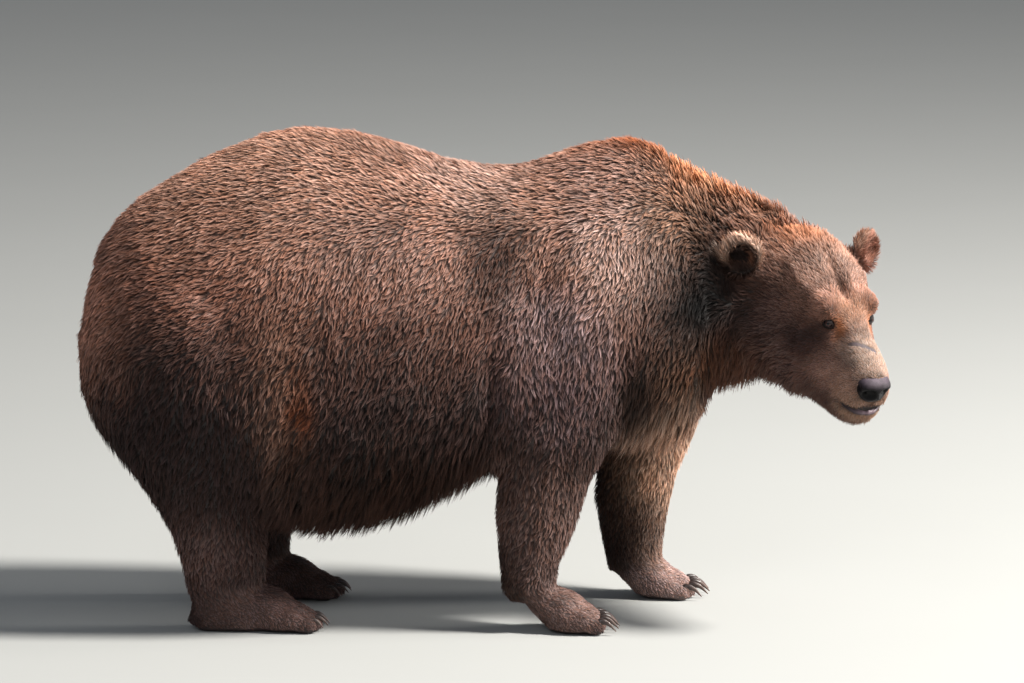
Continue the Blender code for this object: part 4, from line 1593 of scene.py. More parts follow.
# The order counts: each region's random numbers are seeded by its place in this list.
REGIONS = (
    *pair("rump", TRUNK_PARTS, sides(high=RUMP_EDGE), TRUNK_HAIR, (
        FlatMap(Unwrap.DOME, (-0.45, 0, 0.68), (-1, -0.6, 0.2)),
        FlatMap(Unwrap.DOME, (-0.45, 0, 0.68), (-1, 0.6, 0.2)),
    )),
    *pair("flank", TRUNK_PARTS, sides(RUMP_EDGE, SHOULDER_EDGE), TRUNK_HAIR, (FLANK_MAP,) * 2),
    *pair("shoulder", TRUNK_PARTS, sides(SHOULDER_EDGE), TRUNK_HAIR, (SHOULDER_MAP,) * 2),
    *pair("neck", (Part.NECK,), sides(), NECK_HAIR, (NECK_MAP,) * 2),
    *pair("head", (Part.HEAD,), sides(high=MUZZLE_EDGE, on_head=True), HEAD_HAIR, (HEAD_MAP,) * 2),
    *pair("muzzle", (Part.HEAD,), sides(MUZZLE_EDGE, on_head=True), MUZZLE_HAIR, (MUZZLE_MAP,) * 2),
    *pair("ear", (Part.EAR,), sides(on_head=True), EAR_HAIR, (
        FlatMap(Unwrap.DOME, (-0.022, -0.174, 0.097), (1, -0.5, 0), True),
        FlatMap(Unwrap.DOME, (-0.022, 0.174, 0.083), (1, 0.5, 0), True),
    )),
    *pair("foreleg", (Part.FORELEG,), sides(), LEG_HAIR, (
        FlatMap(Unwrap.BARREL, (0.16, -0.222, 0), (0.15, 0, 1)),
        FlatMap(Unwrap.BARREL, (0.38, 0.217, 0), (0.05, 0, 1)),
    )),
    *pair("hindleg", (Part.HINDLEG,), sides(), LEG_HAIR, (
        FlatMap(Unwrap.BARREL, (-0.65, -0.206, 0), UPRIGHT),
        FlatMap(Unwrap.BARREL, (-0.61, 0.206, 0), UPRIGHT),
    )),
    *pair("paws", (Part.PAW,), sides(), PAW_HAIR, (
        FlatMap(Unwrap.DOME, (-0.13, -0.21, -0.30), UPRIGHT),
        FlatMap(Unwrap.DOME, (0.0, 0.21, -0.30), UPRIGHT),
    )),
)
# How far along a strand its points are, from 0 at the root to 1 at the tip.
STOPS = {2: (0.0, 0.52, 1.0), 3: (0.0, 0.40, 0.74, 1.0)}
# How wide a strand is along its length, as a share of its full width.
TAPER_STOPS = (0.0, 0.35, 0.75, 1.0)
TAPER = (0.8, 1.0, 0.66, 0.0)


@dataclass
class Roots:
    """Where strands grow, with what the coat is like there."""

    place: Floats
    normal: Floats
    lie: Floats
    length: Floats
    stand: Floats
    hang: Floats
    tint: Floats

    def take(self, chosen: Whole) -> "Roots":
        """The chosen roots."""
        return Roots(**{key: value[chosen] for key, value in vars(self).items()})


@dataclass
class Coat:
    """The fur: thin strands, drawn together into pointed locks.

    A spread is how unevenly strands or locks turn and curl, and a lift how unevenly they stand.
    """

    pelt: Pelt
    seed: int = 7
    width_for_length: float = 0.060
    least_width: float = 0.0009
    most_width: float = 0.0021
    mean_taper: float = 0.6
    strand_width: Span = (0.75, 1.2)
    strand_length: Span = (0.82, 1.06)
    strand_spread: float = 0.05
    strand_lift: float = 0.03
    strand_roll: float = 0.45
    strands_in_lock: float = 4.2
    lock_length: Span = (0.78, 1.25)
    lock_spread: float = 0.14
    lock_lift: float = 0.07
    lock_pull: Span = (0.62, 0.92)
    lock_contrast: float = 0.66
    patch: float = 0.003
    _fields: dict[str, Floats] = field(init=False)

    def __post_init__(self) -> None:
        """Reads the pelt once."""
        surface = self.pelt.surface
        down = smooth(-surface.normals[:, 2], 0.2, 0.8)
        throat = self.pelt.weights[:, Part.HEAD.value] * smooth(-self.pelt.head[:, 2], 0.14, 0.20)
        clear = smooth(surface.points[:, 2], 0.12, 0.20)
        self._fields = {
            "normal": surface.normals,
            "lie": self.pelt.lie(),
            "length": self.pelt.length(),
            "stand": self.pelt.stand(),
            "hang": 0.45 * np.clip(down + throat, 0, 1) * clear,
            "tint": self.pelt.tint(SCAR.on_hair),
            "bare": self.pelt.bare(),
        }

    def build(self) -> list[bpy.types.Object]:
        """Grows the coat, region by region.

        Returns:
            The pieces.
        """
        surface = self.pelt.surface
        middles = surface.points[surface.triangles].mean(axis=1)
        heads = to_head(middles)
        parts = self.pelt.parts[surface.triangles[:, 0]]
        finish = FurFinish("coat").make()
        pieces = []
        for number, region in enumerate(REGIONS):
            here = np.isin(parts, [part.value for part in region.parts])
            here &= region.keep(middles, heads)
            rng = np.random.default_rng(self.seed + number)
            piece = self._grow(region, np.nonzero(here)[0], rng)
            piece.data.materials.append(finish)
            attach(piece, BODY)
            pieces.append(piece)
        return pieces

    def _widths(self, length: Floats, growth: Growth) -> Floats:
        """Width of a strand of each length."""
        width = np.clip(self.width_for_length * length, self.least_width, self.most_width)
        return growth.broad * width

    def _plant(self, region: Region, triangles: Whole, rng: np.random.Generator) -> Roots:
        """Scatters roots over triangles of the skin.

        Args:
            region: the stretch of coat.
            triangles: its triangles of the skin.
            rng: the random numbers.

        Returns:
            The roots.
        """
        surface = self.pelt.surface
        corners = surface.triangles[triangles]
        length = self._fields["length"][corners].mean(axis=1)
        bare = self._fields["bare"][corners].mean(axis=1)
        growth = region.growth
        strand_area = self.mean_taper * self._widths(length, growth) * length
        rate = growth.cover / strand_area * (1 - smooth(bare, 0.25, 0.6))
        wanted = rate * surface.areas[triangles]
        counts = np.floor(wanted + rng.random(len(wanted))).astype(np.int64)
        chosen = np.repeat(np.arange(len(triangles)), counts)
        spread = rng.random((len(chosen), 2))
        fold = spread.sum(axis=1) > 1
        spread[fold] = 1 - spread[fold]
        weights = np.stack([1 - spread.sum(axis=1), spread[:, 0], spread[:, 1]], axis=1)
        own = corners[chosen]

        def at(values: Floats) -> Floats:
            """Values of the vertices, mixed at the roots."""
            picked = values[own]
            return (picked * (weights if picked.ndim == 2 else weights[:, :, None])).sum(axis=1)

        fields = {key: at(self._fields[key]) for key in ("length", "stand", "hang", "tint")}
        normal = unit(at(self._fields["normal"]))
        lie = at(self._fields["lie"])
        lie = unit(lie - normal * dot(lie, normal))
        return Roots(place=at(surface.points), normal=normal, lie=lie, **fields)

    @staticmethod
    def _turn(roots: Roots, angle: Floats) -> None:
        """Turns the lie of the hair about the skin's normal.

        Args:
            roots: where the strands grow, changed in place.
            angle: how far each turns, in radians.
        """
        side = np.cross(roots.normal, roots.lie)
        roots.lie = roots.lie * np.cos(angle)[:, None] + side * np.sin(angle)[:, None]

    @staticmethod
    def _path(roots: Roots, s: float, bend: Floats) -> Floats:
        """The middle line of each strand.

        Args:
            roots: where the strands grow.
            s: how far along, from 0 at the root to 1 at the tip.
            bend: how far each curls sideways.

        Returns:
            A place on each strand.
        """
        # The strand's angle from the skin, at its root and at its tip.
        first = np.radians(30 + 45 * roots.stand)
        last = np.radians(3 + 50 * roots.stand)
        turn = last - first
        here = first + turn * s
        along = (np.sin(here) - np.sin(first)) / turn
        rise = (np.cos(first) - np.cos(here)) / turn
        side = np.cross(roots.normal, roots.lie)
        reach = roots.length[:, None]
        line = roots.lie * along[:, None] + roots.normal * (rise[:, None] - 0.03)
        line = line + side * (bend * s * s)[:, None]
        line[:, 2] -= roots.hang * s * s
        return roots.place + reach * line

    def _grow(self, region: Region, triangles: Whole, rng: np.random.Generator) -> bpy.types.Object:
        """Grows one region.

        Args:
            region: the stretch of coat.
            triangles: its triangles of the skin.
            rng: the random numbers.

        Returns:
            The piece.
        """
        roots = self._plant(region, triangles, rng)
        count = len(roots.place)
        wave = 0.30 * noise(roots.place, 0.05, 41) + 0.22 * noise(roots.place, 0.022, 42)
        self._turn(roots, wave)
        picks = rng.permutation(count)[: max(int(count / self.strands_in_lock), 1)]
        locks = roots.take(picks)
        size = len(picks)
        self._turn(locks, rng.normal(0, self.lock_spread, size))
        locks.length = locks.length * rng.uniform(*self.lock_length, size)
        locks.stand = np.clip(locks.stand + rng.normal(0, self.lock_lift, size), 0.0, 1.0)
        lock_bend = rng.normal(0, self.lock_spread, size)
        lock_random = rng.random(size)
        tree = KDTree(size)
        for i, place in enumerate(locks.place):
            tree.insert(place, i)
        tree.balance()
        lock = np.array([tree.find(place)[1] for place in roots.place])
        own = roots.take(np.arange(count))
        own.length = locks.length[lock] * rng.uniform(*self.strand_length, count)
        lift = rng.normal(0, self.strand_lift, count)
        own.stand = np.clip(locks.stand[lock] + lift, 0.0, 1.0)
        own.lie = unit(locks.lie[lock] - own.normal * dot(locks.lie[lock], own.normal))
        self._turn(own, rng.normal(0, self.strand_spread, count))
        bend = lock_bend[lock] + rng.normal(0, self.strand_spread, count)
        centre = locks.take(lock)
        pull = rng.uniform(*self.lock_pull, count)
        stops = STOPS[region.growth.segments]
        lines = []
        for s in stops:
            strand = self._path(own, s, bend)
            middle = self._path(centre, s, lock_bend[lock])
            lines.append(strand + (middle - strand) * (pull * s**1.25)[:, None])
        return self._ribbons(region, own, lines, stops, rng, lock_random[lock])

    def _ribbons(
        self,
        region: Region,
        roots: Roots,
        lines: list[Floats],
        stops: tuple[float, ...],
        rng: np.random.Generator,
        lock_random: Floats,
    ) -> bpy.types.Object:
        """Turns middle lines into tapering strands.

        Args:
            region: the stretch of coat.
            roots: where the strands grow.
            lines: a place on each strand at each stop.
            stops: the stops, from 0 at the root to 1 at the tip.
            rng: the random numbers.
            lock_random: a number from 0 to 1, the same for all strands of a lock.

        Returns:
            The piece, with its attributes and its flat map.
        """
        count = len(roots.place)
        rings = len(stops) - 1
        even = region.growth.even
        width = self._widths(roots.length, region.growth) * rng.uniform(*self.strand_width, count)
        roll = rng.normal(0, self.strand_roll, count)
        points, along, across = [], [], []
        for i in range(rings):
            ahead = unit(lines[i + 1] - lines[max(i - 1, 0)])
            side = unit(np.cross(roots.normal, ahead))
            up = np.cross(ahead, side)
            side = side * np.cos(roll)[:, None] + up * np.sin(roll)[:, None]
            half = (0.5 * width * np.interp(stops[i], TAPER_STOPS, TAPER))[:, None]
            points += [lines[i] - side * half, lines[i] + side * half]
            along += [stops[i]] * 2
            across += [-0.5, 0.5]
        points.append(lines[-1])
        along.append(1.0)
        across.append(0.0)
        stacked = np.stack(points, axis=1)
        stacked[..., 2] = np.maximum(stacked[..., 2], FLOOR_CLEARANCE)
        per_strand = 2 * rings + 1
        starts = np.arange(count)[:, None] * per_strand
        quads = [
            starts + np.array([2 * i + 2, 2 * i + 3, 2 * i + 1, 2 * i]) for i in range(rings - 1)
        ]
        tips = starts + np.array([2 * rings, 2 * rings - 1, 2 * rings - 2])
        mesh = mesh_of(region.name, stacked.reshape(-1, 3), [*quads, tips])
        ones = np.ones((count, per_strand))
        paled = even + (1 - even) * np.array(along)
        own_random = rng.random((count, 1))
        strand = np.stack([ones * paled, ones * own_random, ones * lock_random[:, None]], axis=2)
        write_vectors(mesh, "strand", strand.reshape(-1, 3))
        bright = 1 + self.lock_contrast * (1 - even) * (lock_random - 0.5)
        tint = bright[:, None] * roots.tint
        write_colours(mesh, "tint", np.repeat(tint, per_strand, axis=0))
        self._map(mesh, region.flat.lay(roots.place), np.array(along), np.array(across))
        return new_piece(region.name, mesh)

    def _map(self, mesh: bpy.types.Mesh, flat: Floats, along: Floats, across: Floats) -> None:
        """Writes the flat map: a small patch for each strand, at its root.

        Args:
            mesh: the strands.
            flat: where each strand's root lies on the region's map.
            along: how far along the strand each of its points is.
            across: how far to the side each of its points is.
        """
        local = np.stack([across, along - 0.5], axis=1) * self.patch
        places = (flat[:, None, :] + local[None]).reshape(-1, 2)
        corners = np.empty(len(mesh.loops), np.int32)
        mesh.loops.foreach_get("vertex_index", corners)
        layer = mesh.uv_layers.new(name="OFBake")
        layer.uv.foreach_set("vector", places[corners].astype(np.float32).ravel())


# ---------------------------------------------------------------- eyes, nose, mouth and claws


@dataclass
class Eye:
    """An eyeball with its lids. side is 1 for the left and -1 for the right."""

    side: int
    radius: float = 0.0145
    sink: float = 0.0092
    gaze: Triple = (0.72, 0.66, 0.20)
    half_opening: float = 0.0112
    upper: float = 0.0040
    lower: float = 0.0048
    lid_thickness: float = 0.0011
    skirt: float = 0.0165

    def __post_init__(self) -> None:
        """Finds the eye's place and its axes."""
        self.node = "eye_left" if self.side > 0 else "eye_right"
        low, high = (np.array(corner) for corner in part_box(self.node))
        mirror = np.array([1, self.side, 1])
        self.out = unit(np.array(self.gaze) * mirror) @ HEAD_AXES.T
        self.centre = (low + high) / 2 - self.out * self.sink
        back = np.array([-1.0, 0.0, 0.22]) @ HEAD_AXES.T
        self.back = unit(back - self.out * (back @ self.out))
        self.up = np.cross(self.out, self.back) * self.side
        if self.up[2] < 0:
            self.up = -self.up

    def press(self, points: Floats) -> Floats:
        """Sinks the skin behind the eyeball.

        Args:
            points: the skin's points.

        Returns:
            The points, those over the eyeball moved in.
        """
        away = points - self.centre
        high = away @ self.out
        flat = np.linalg.norm(away - high[:, None] * self.out, axis=1)
        sunk = (1 - smooth(flat, 0.011, 0.020)) * np.clip(high + 0.002, 0, None) * (high < 0.04)
        return points - sunk[:, None] * self.out

    def build(self) -> list[bpy.types.Object]:
        """Makes the eyeball and the lids.

        Returns:
            Both pieces.
        """
        ball = self._ball()
        lids = self._lids()
        return [ball, lids]

    def _ball(self) -> bpy.types.Object:
        """The eyeball, with a slight swell for the cornea.

        Returns:
            The piece.
        """
        bpy.ops.object.select_all(action="DESELECT")
        bpy.ops.mesh.primitive_uv_sphere_add(segments=48, ring_count=32, radius=self.radius)
        ball = bpy.context.object
        ball.name = f"eyeball_{self.node[4:]}"
        points = points_of(ball.data)
        away = np.arccos(np.clip(unit(points)[:, 2], -1, 1))
        swell = 1 + 0.07 * np.exp(-((away / 0.45) ** 2))
        turn = np.arctan2(points[:, 1], points[:, 0])
        gaze = np.stack([away, np.cos(turn), np.sin(turn)], axis=1)
        points = points * swell[:, None]
        set_points(ball.data, points @ np.stack([self.back, self.up, self.out]) + self.centre)
        turn_outwards(ball.data)
        write_vectors(ball.data, "gaze", gaze)
        ball.data.materials.append(EyeFinish(f"eye_{self.node[4:]}").make())
        ball.data.shade_smooth()
        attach(ball, BODY)
        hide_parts(self.node)
        return ball

    def _opening(self, angle: Floats) -> tuple[Floats, Floats]:
        """The almond-shaped edge of the lids.

        Args:
            angle: angles round the eye.

        Returns:
            How far back and how far up the edge is at each.
        """
        across = self.half_opening * np.cos(angle)
        bow = np.abs(np.sin(angle)) ** 1.15
        rise = np.where(np.sin(angle) >= 0, self.upper * bow, -self.lower * bow)
        droop = -0.0016 * (across / self.half_opening) ** 2 * np.sign(across) - 0.0006
        return across, rise + droop

    def _lids(self) -> bpy.types.Object:
        """Upper and lower lid as one ring of skin that rolls in at the eye and ends in the coat.

        Returns:
            The piece.
        """
        count = 56
        angle = np.arange(count) * 2 * math.pi / count
        across, rise = self._opening(angle)
        # How far out from the edge of the opening, and how far off the eyeball, each ring lies.
        rings = (
            (-0.0002, -0.0004),
            (0.0000, 0.0006),
            (0.0006, self.lid_thickness),
            (0.0016, self.lid_thickness + 0.0005),
            (0.0030, self.lid_thickness + 0.0003),
            (0.0040, self.lid_thickness - 0.0004),
            (0.0052, self.lid_thickness + 0.0002),
            (0.0080, -0.0004),
            (0.0115, -0.0034),
            (self.skirt, -0.0085),
        )
        points, wet = [], []
        reach = np.hypot(across, rise)
        for grow, lift in rings:
            scale = 1 + grow / np.maximum(reach, 0.004)
            a, b = across * scale, rise * scale
            away = np.hypot(a, b)
            flat = np.minimum(away, self.radius * 0.93)
            height = np.sqrt(self.radius**2 - flat**2) + lift
            ring = a[:, None] * self.back + b[:, None] * self.up + height[:, None] * self.out
            points.append(ring + self.centre)
            wet.append(np.full(count, 1.0 if grow <= 0.0006 else 0.15))
        mesh = mesh_of("lids", np.concatenate(points), [grid_faces(len(rings), count, True)])
        write_numbers(mesh, "wet", np.concatenate(wet))
        turn_outwards(mesh, self.centre)
        lids = new_piece(f"lids_{self.node[4:]}", mesh)
        finish = LeatherFinish(lids.name, screen(20, 14, 12), screen(52, 33, 30), roughness=0.75)
        lids.data.materials.append(finish.make())
        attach(lids, BODY)
        return lids


@dataclass
class Nose:
    """The nose pad, with nostrils, side slits and the groove below, sized in the head's frame."""

    centre: Triple = (0.3560, 0.0, -0.0930)
    radii: Triple = (0.0350, 0.0410, 0.0400)
    nostril: Triple = (0.391, 0.0215, -0.1035)

    def build(self) -> bpy.types.Object:
        """Makes the nose.

        Returns:
            Its object.
        """
        bpy.ops.object.select_all(action="DESELECT")
        bpy.ops.mesh.primitive_uv_sphere_add(segments=128, ring_count=96, radius=1.0)
        nose = bpy.context.object
        nose.name = "nose_pad"
        points = points_of(nose.data)
        square = np.sign(points) * np.abs(points) ** 0.78
        x, y, z = square.T
        taper = 1 - 0.26 * smooth(-z, 0.1, 1.0) - 0.08 * smooth(z, 0.3, 1.0)
        shaped = np.stack([x * (1 - 0.10 * smooth(np.abs(z), 0.4, 1)), y * taper, z], axis=1)
        head = shaped * np.array(self.radii) + np.array(self.centre)
        head[:, 0] -= 0.010 * smooth(-z, 0.2, 1.0) + 0.012 * smooth(z, 0.15, 1.0)
        head, deep = self._hollows(head)
        up = unit(shaped / np.array(self.radii))[:, 2]
        set_points(nose.data, from_head(head))
        turn_outwards(nose.data)
        write_vectors(nose.data, "nose", np.stack([np.clip(up, 0, 1), deep, deep * 0], axis=1))
        nose.data.materials.append(NoseFinish("nose_leather").make())
        nose.data.shade_smooth()
        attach(nose, BODY)
        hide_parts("nose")
        return nose

    def _hollows(self, head: Floats) -> tuple[Floats, Floats]:
        """Presses in the nostrils, the slits beside them and the groove between them.

        Args:
            head: the pad's points in the head's frame.

        Returns:
            The pressed points, and how hollow each is, from 0 to 1.
        """
        deep = np.zeros(len(head))
        moved = head.copy()
        front = smooth(head[:, 0], 0.352, 0.368)
        for side in (-1, 1):
            mirror = np.array([1, side, 1])
            hole = np.array(self.nostril) * mirror
            away = np.linalg.norm((head - hole) * [0.35, 0.74, 0.90], axis=1)
            press = np.exp(-((away / 0.0125) ** 4))
            slit = np.zeros(len(head))
            for t in np.linspace(0, 1, 12):
                spot = [0.384 - 0.026 * t, 0.0285 + 0.0130 * t, -0.1060 + 0.022 * t**1.6]
                near = np.linalg.norm((head - np.array(spot) * mirror) * [0.6, 1.0, 1.0], axis=1)
                slit = np.maximum(slit, np.exp(-((near / 0.0030) ** 2)) * (1 - 0.5 * t))
            moved += press[:, None] * np.array([-0.017, side * -0.003, 0.004]) * front[:, None]
            moved += slit[:, None] * np.array([-0.004, side * -0.005, 0.0])
            beside = hole + [0, side * 0.011, 0.006]
            near = np.linalg.norm((head - beside) * [0.5, 1, 1], axis=1)
            wing = np.exp(-((near / 0.008) ** 2))
            moved += wing[:, None] * np.array([0.0015, side * 0.0015, 0.001])
            deep = np.maximum(deep, np.maximum(2.4 * press * front, slit))
        groove = np.exp(-((head[:, 1] / 0.0022) ** 2))
        groove = groove * (1 - smooth(head[:, 2], -0.1045, -0.0925)) * front
        moved[:, 0] -= 0.0035 * groove
        return moved, np.clip(np.maximum(deep, groove * 0.7), 0, 1)


@dataclass
class Mouth:
    """Lips and what shows between them. Heights are in the head's frame."""

    corner_x: float = 0.280
    corner_z: float = -0.1440
    slope: float = -0.118
    middle_x: float = 0.290
    steps: int = 73
    lower_drop: float = 0.0125

    def height(self, x: Floats) -> Floats:
        """Height of the mouth's line at each station along the head."""
        return self.corner_z + self.slope * (x - self.corner_x)

    def open(self, x: Floats) -> Floats:
        """How far the mouth is open at each station, from 0 to 1."""
        return smooth(x, self.corner_x + 0.012, self.corner_x + 0.060)

    def press(self, points: Floats) -> Floats:
        """Sinks the skin along the mouth, as a groove for the lips.

        Args:
            points: the skin's points.

        Returns:
            The points, those in the mouth's line moved in.
        """
        head = to_head(points)
        level = np.exp(-(((head[:, 2] - self.height(head[:, 0]) + 0.003) / 0.0065) ** 4))
        inward = np.array([self.middle_x, 0.0, 0.0]) - head
        inward[:, 2] = 0
        near = smooth(head[:, 0], self.corner_x - 0.02, self.corner_x + 0.03)
        return from_head(head + unit(inward) * (0.009 * level * near)[:, None])

    def build(self, skin: bpy.types.Object) -> list[bpy.types.Object]:
        """Makes both lips and the inside of the mouth.

        Args:
            skin: the skin, which the lips follow.

        Returns:
            The pieces.
        """
        surface = Surface(skin.data)
        tree = BVHTree.FromPolygons([Vector(p) for p in surface.points], surface.triangles.tolist())
        upper = self._edge(tree, 0.0050)
        lower = self._edge(tree, -self.lower_drop)
        dark = LeatherFinish("lip_upper", screen(22, 17, 18), screen(48, 32, 32))
        # The lower lip's pale pink wet front is partly a painted highlight.
        pink = LeatherFinish("lip_lower", screen(42, 35, 40), screen(128, 106, 114))
        red = LeatherFinish("mouth_inside", screen(26, 10, 10), screen(70, 20, 20))
        pieces = [
            self._roll(dark, upper, 0.0034, 0.0006, 0.3),
            self._roll(pink, lower, 0.0064, 0.0010, 1.0),
            self._inside(upper, lower, red),
        ]
        for piece in pieces:
            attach(piece, BODY)
        return pieces

    def _edge(self, tree: BVHTree, above: float) -> Floats:
        """A line round the muzzle on the skin, from the right corner of the mouth to the left one.

        Args:
            tree: the skin.
            above: how far above the mouth's line it runs at the front.

        Returns:
            Its places in the head's frame.
        """
        line = []
        for t in np.linspace(-1, 1, self.steps):
            turn = t * math.radians(94)
            opened = math.exp(-((t / 0.55) ** 2))
            ray = np.array([math.cos(turn), math.sin(turn), 0.0])
            start = np.array([self.middle_x, 0.0, 0.0])
            reach = start + ray * 0.06
            start[2] = reach[2] = self.height(reach[0]) + above * opened
            hit = tree.ray_cast(Vector(from_head(start)), Vector(ray @ HEAD_AXES.T), 0.12)[0]
            line.append(to_head(np.array(hit)[None])[0] if hit else reach)
        line = np.array(line)
        for _ in range(4):
            line[1:-1] = (line[:-2] + 2 * line[1:-1] + line[2:]) / 4
        return line

    def _roll(
        self, finish: LeatherFinish, line: Floats, thick: float, inset: float, wetness: float
    ) -> bpy.types.Object:
        """A soft roll along a line, thinner towards the corners.

        Args:
            finish: its material, which gives its name.
            line: the line in the head's frame.
            thick: the roll's radius at the front.
            inset: how far its middle lies in from the skin.
            wetness: how wet it is at the front; on the lower lip the paler wet colour is partly a
                painted highlight.

        Returns:
            The piece.
        """
        corners = 14
        angle = np.arange(corners) * 2 * math.pi / corners
        rings, wet = [], []
        for i, place in enumerate(line):
            t = 2 * i / (len(line) - 1) - 1
            ahead = unit(line[min(i + 1, len(line) - 1)] - line[max(i - 1, 0)])
            out = unit(np.cross(ahead, [0.0, 0.0, 1.0]))
            up = np.cross(out, ahead)
            radius = thick * (0.30 + 0.70 * math.sqrt(max(1 - abs(t) ** 3, 0)))
            uneven = 1 + 0.12 * math.sin(17 * t) + 0.08 * math.sin(41 * t + 1)
            ring = place - out * inset + radius * uneven * (
                np.cos(angle)[:, None] * out * 0.8 + np.sin(angle)[:, None] * up
            )
            rings.append(ring)
            # Wettest at the front and on the upper side, where the lower lip's pale colour is partly a
            # painted highlight.
            wet.append(wetness * math.exp(-((t / 0.32) ** 2)) * (0.35 + 0.65 * (np.sin(angle) > -0.2)))
        points = np.concatenate([*rings, [line[0]], [line[-1]]])
        count = len(line) * corners
        here = np.arange(corners)
        after = (here + 1) % corners
        first = np.stack([np.full(corners, count), after, here], axis=1)
        last_ring = count - corners
        last = np.stack([np.full(corners, count + 1), last_ring + here, last_ring + after], axis=1)
        faces = [grid_faces(len(line), corners, True), first, last]
        mesh = mesh_of(finish.name, from_head(points), faces)
        turn_outwards(mesh)
        write_numbers(mesh, "wet", np.concatenate([*wet, [0.0], [0.0]]))
        piece = new_piece(finish.name, mesh)
        piece.data.materials.append(finish.make())
        return piece

    def _inside(self, upper: Floats, lower: Floats, finish: LeatherFinish) -> bpy.types.Object:
        """The dark flesh between the lips, set back from them.

        Args:
            upper: the upper lip's line in the head's frame.
            lower: the lower lip's line.
            finish: its material.

        Returns:
            The piece.
        """
        rows = 5
        inner = []
        for r in np.linspace(0, 1, rows):
            line = upper * (1 - r) + lower * r
            back = np.array([self.middle_x - 0.02, 0.0, 0.0]) - line
            back[:, 2] = 0
            inner.append(line + unit(back) * (0.0035 + 0.004 * math.sin(math.pi * r)))
        faces = [grid_faces(rows, len(upper), False)]
        mesh = mesh_of("mouth_inside", from_head(np.concatenate(inner)), faces)
        centre = from_head(np.array([[self.middle_x, 0.0, self.height(self.middle_x)]]))[0]
        turn_outwards(mesh, centre)
        write_numbers(mesh, "wet", np.full(len(mesh.vertices), 0.7))
        piece = new_piece("mouth_inside", mesh)
        apply_modifier(piece, "SOLIDIFY", thickness=0.002, offset=-1.0)
        piece.data.materials.append(finish.make())
        return piece


@dataclass
class Claws:
    """The five claws of one paw, with the grooves between its toes."""

    paw: str
    plump: float = 0.0034
    shorter: float = 0.80
    lower: float = 0.005
    droop: float = 0.009

    def _names(self) -> list[str]:
        """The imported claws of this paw."""
        return [f"{self.paw}_claw_{i}" for i in range(1, 6)]

    def press(self, points: Floats) -> Floats:
        """Presses grooves between the toes into the skin.

        Args:
            points: the skin's points.

        Returns:
            The points, those between the toes moved down and back.
        """
        boxes = sorted((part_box(name) for name in self._names()), key=lambda box: box[0].y)
        moved = points.copy()
        for (low, high), (after, beyond) in zip(boxes, boxes[1:]):
            middle = (low.y + high.y + after.y + beyond.y) / 4
            gap = np.array([(low.x + after.x) / 2 - 0.004, middle, 0.045])
            away = (((points - gap) / np.array([0.045, 0.0075, 0.050])) ** 2).sum(axis=1)
            moved += np.exp(-away)[:, None] * np.array([-0.010, 0.0, -0.015])
        return moved

    def build(self) -> bpy.types.Object:
        """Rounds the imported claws.

        Returns:
            Them as one piece.
        """
        names = self._names()
        piece = copy_nodes(f"claws_{self.paw}", names)
        apply_modifier(piece, "SUBSURF", levels=3, render_levels=3)
        surface = Surface(piece.data)
        boxes = [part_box(name) for name in names]
        middles = np.array([[(low.y + high.y) / 2] for low, high in boxes])
        toe = np.abs(surface.points[:, 1] - middles).argmin(axis=0)
        starts = np.array([low.x for low, _ in boxes])[toe]
        lengths = np.array([high.x - low.x for low, high in boxes])[toe]
        side = surface.points[:, 1] - middles[toe, 0]
        along = np.clip((surface.points[:, 0] - starts) / lengths, 0, 1)
        points = surface.points + surface.normals * (self.plump * (1 - 0.85 * along))[:, None]
        points[:, 0] = starts + (points[:, 0] - starts) * self.shorter
        for fold in FOLDS:
            points = fold.press(points)
        points[:, 2] = np.maximum(points[:, 2] - self.lower - self.droop * along**2, FLOOR_CLEARANCE)
        set_points(piece.data, points)
        write_vectors(piece.data, "horn", np.stack([along, side * 60, toe / 5], axis=1))
        piece.data.materials.clear()
        piece.data.materials.append(HornFinish(piece.name).make())
        piece.data.shade_smooth()
        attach(piece, BODY)
        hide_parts(*names)
        return piece


# ---------------------------------------------------------------- the studio


@dataclass(frozen=True)
class Lamp:
    """A soft studio light aimed at the bear."""

    name: str
    place: Triple
    size: float
    power: float
    colour: Colour = (1.0, 1.0, 1.0)

    def build(self, aim: Vector) -> None:
        """Sets up the light.

        Args:
            aim: what it points at.
        """
        data = bpy.data.lights.new(self.name, "AREA")
        data.shape = "DISK"
        data.size = self.size
        data.energy = self.power
        data.color = self.colour
        lamp = bpy.data.objects.new(self.name, data)
        bpy.context.scene.collection.objects.link(lamp)
        lamp.location = self.place
        lamp.rotation_euler = (aim - Vector(self.place)).to_track_quat("-Z", "Y").to_euler()


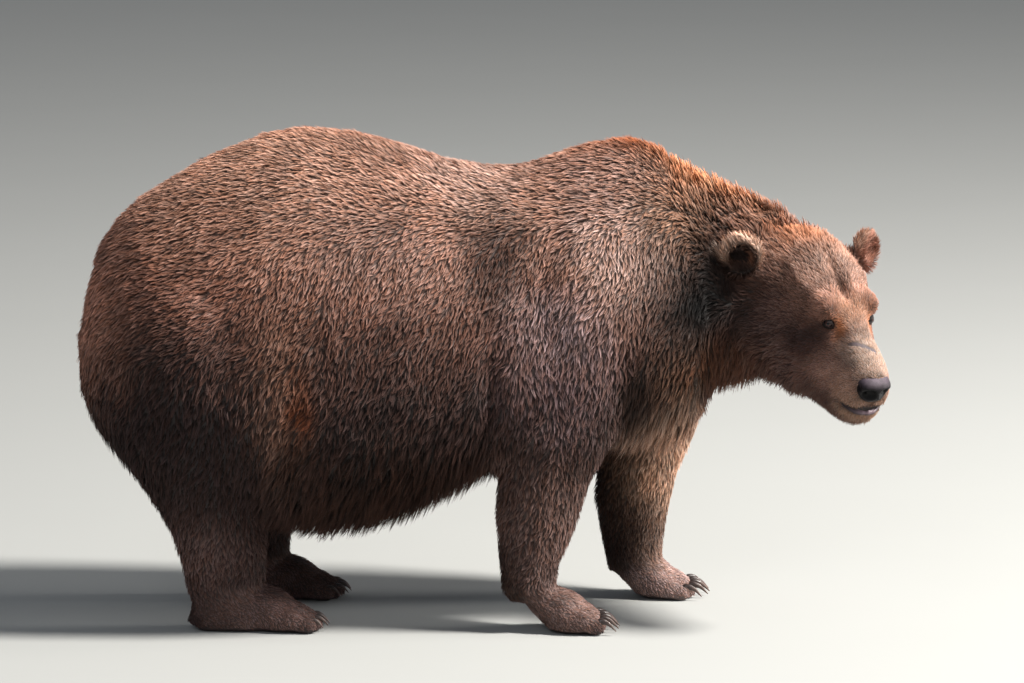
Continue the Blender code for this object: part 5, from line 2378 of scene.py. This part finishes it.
@dataclass(frozen=True)
class Studio:
    """Floor, lights and camera."""

    elevation: float = 8.5
    distance: float = 15.0
    across: float = 2.4576
    aim: Triple = (0.0748, -0.0008, 0.66126)
    lit: Triple = (0.0, 0.0, 0.6)
    world: Colour = (0.62, 0.66, 0.72)
    world_strength: float = 0.36

    def build(self) -> None:
        """Sets up the studio."""
        self._floor()
        self._world()
        aim = Vector(self.lit)
        Lamp("key", (8.6, -2.4, 9.8), 2.6, 4700, (1.0, 0.965, 0.91)).build(aim)
        Lamp("front", (9.0, 0.8, 1.7), 2.2, 760, (1.0, 0.97, 0.93)).build(aim)
        Lamp("fill", (-3.0, -9.0, 6.5), 4.0, 200, (0.92, 0.96, 1.0)).build(aim)
        bpy.context.scene.view_settings.view_transform = "Standard"
        self._camera()

    def _floor(self) -> None:
        """A wide pale floor under the soles."""
        bpy.ops.object.select_all(action="DESELECT")
        bpy.ops.mesh.primitive_circle_add(vertices=96, radius=26, fill_type="NGON")
        floor = bpy.context.object
        floor.name = "floor"
        floor.data.transform(Matrix.Translation((0, 0, -0.0005)))
        floor.data.materials.append(StudioFinish("floor").make())

    def _world(self) -> None:
        """An even pale sky."""
        world = bpy.data.worlds.new("studio")
        world.use_nodes = True
        sky = world.node_tree.nodes["Background"]
        sky.inputs["Color"].default_value = (*self.world, 1)
        sky.inputs["Strength"].default_value = self.world_strength
        bpy.context.scene.world = world

    def _camera(self) -> None:
        """The camera, level with the bear's shoulder and far off."""
        data = bpy.data.cameras.new("camera")
        data.sensor_width = 36
        data.lens = data.sensor_width * self.distance / self.across
        data.clip_end = 60
        camera = bpy.data.objects.new("camera", data)
        bpy.context.scene.collection.objects.link(camera)
        tilt = math.radians(self.elevation)
        back = Vector((0, -math.cos(tilt), math.sin(tilt)))
        camera.location = Vector(self.aim) + back * self.distance
        camera.rotation_euler = (-back).to_track_quat("-Z", "Y").to_euler()
        bpy.context.scene.camera = camera


def report(*pieces: bpy.types.Object) -> None:
    """Logs finished pieces."""
    for piece in pieces:
        LOG.info("%s: %d faces", piece.name, len(piece.data.polygons))


def main() -> None:
    """Builds the bear piece by piece."""
    logging.basicConfig(level=logging.INFO, format="%(relativeCreated)d ms %(message)s")
    skin = Skin()
    report(skin.build())
    report(*Coat(skin.pelt).build())
    for side in (-1, 1):
        report(*Eye(side).build())
    report(Nose().build())
    report(*Mouth().build(skin.piece))
    for paw in PAWS:
        report(Claws(paw).build())
    Studio().build()


if __name__ == "__main__":
    main()
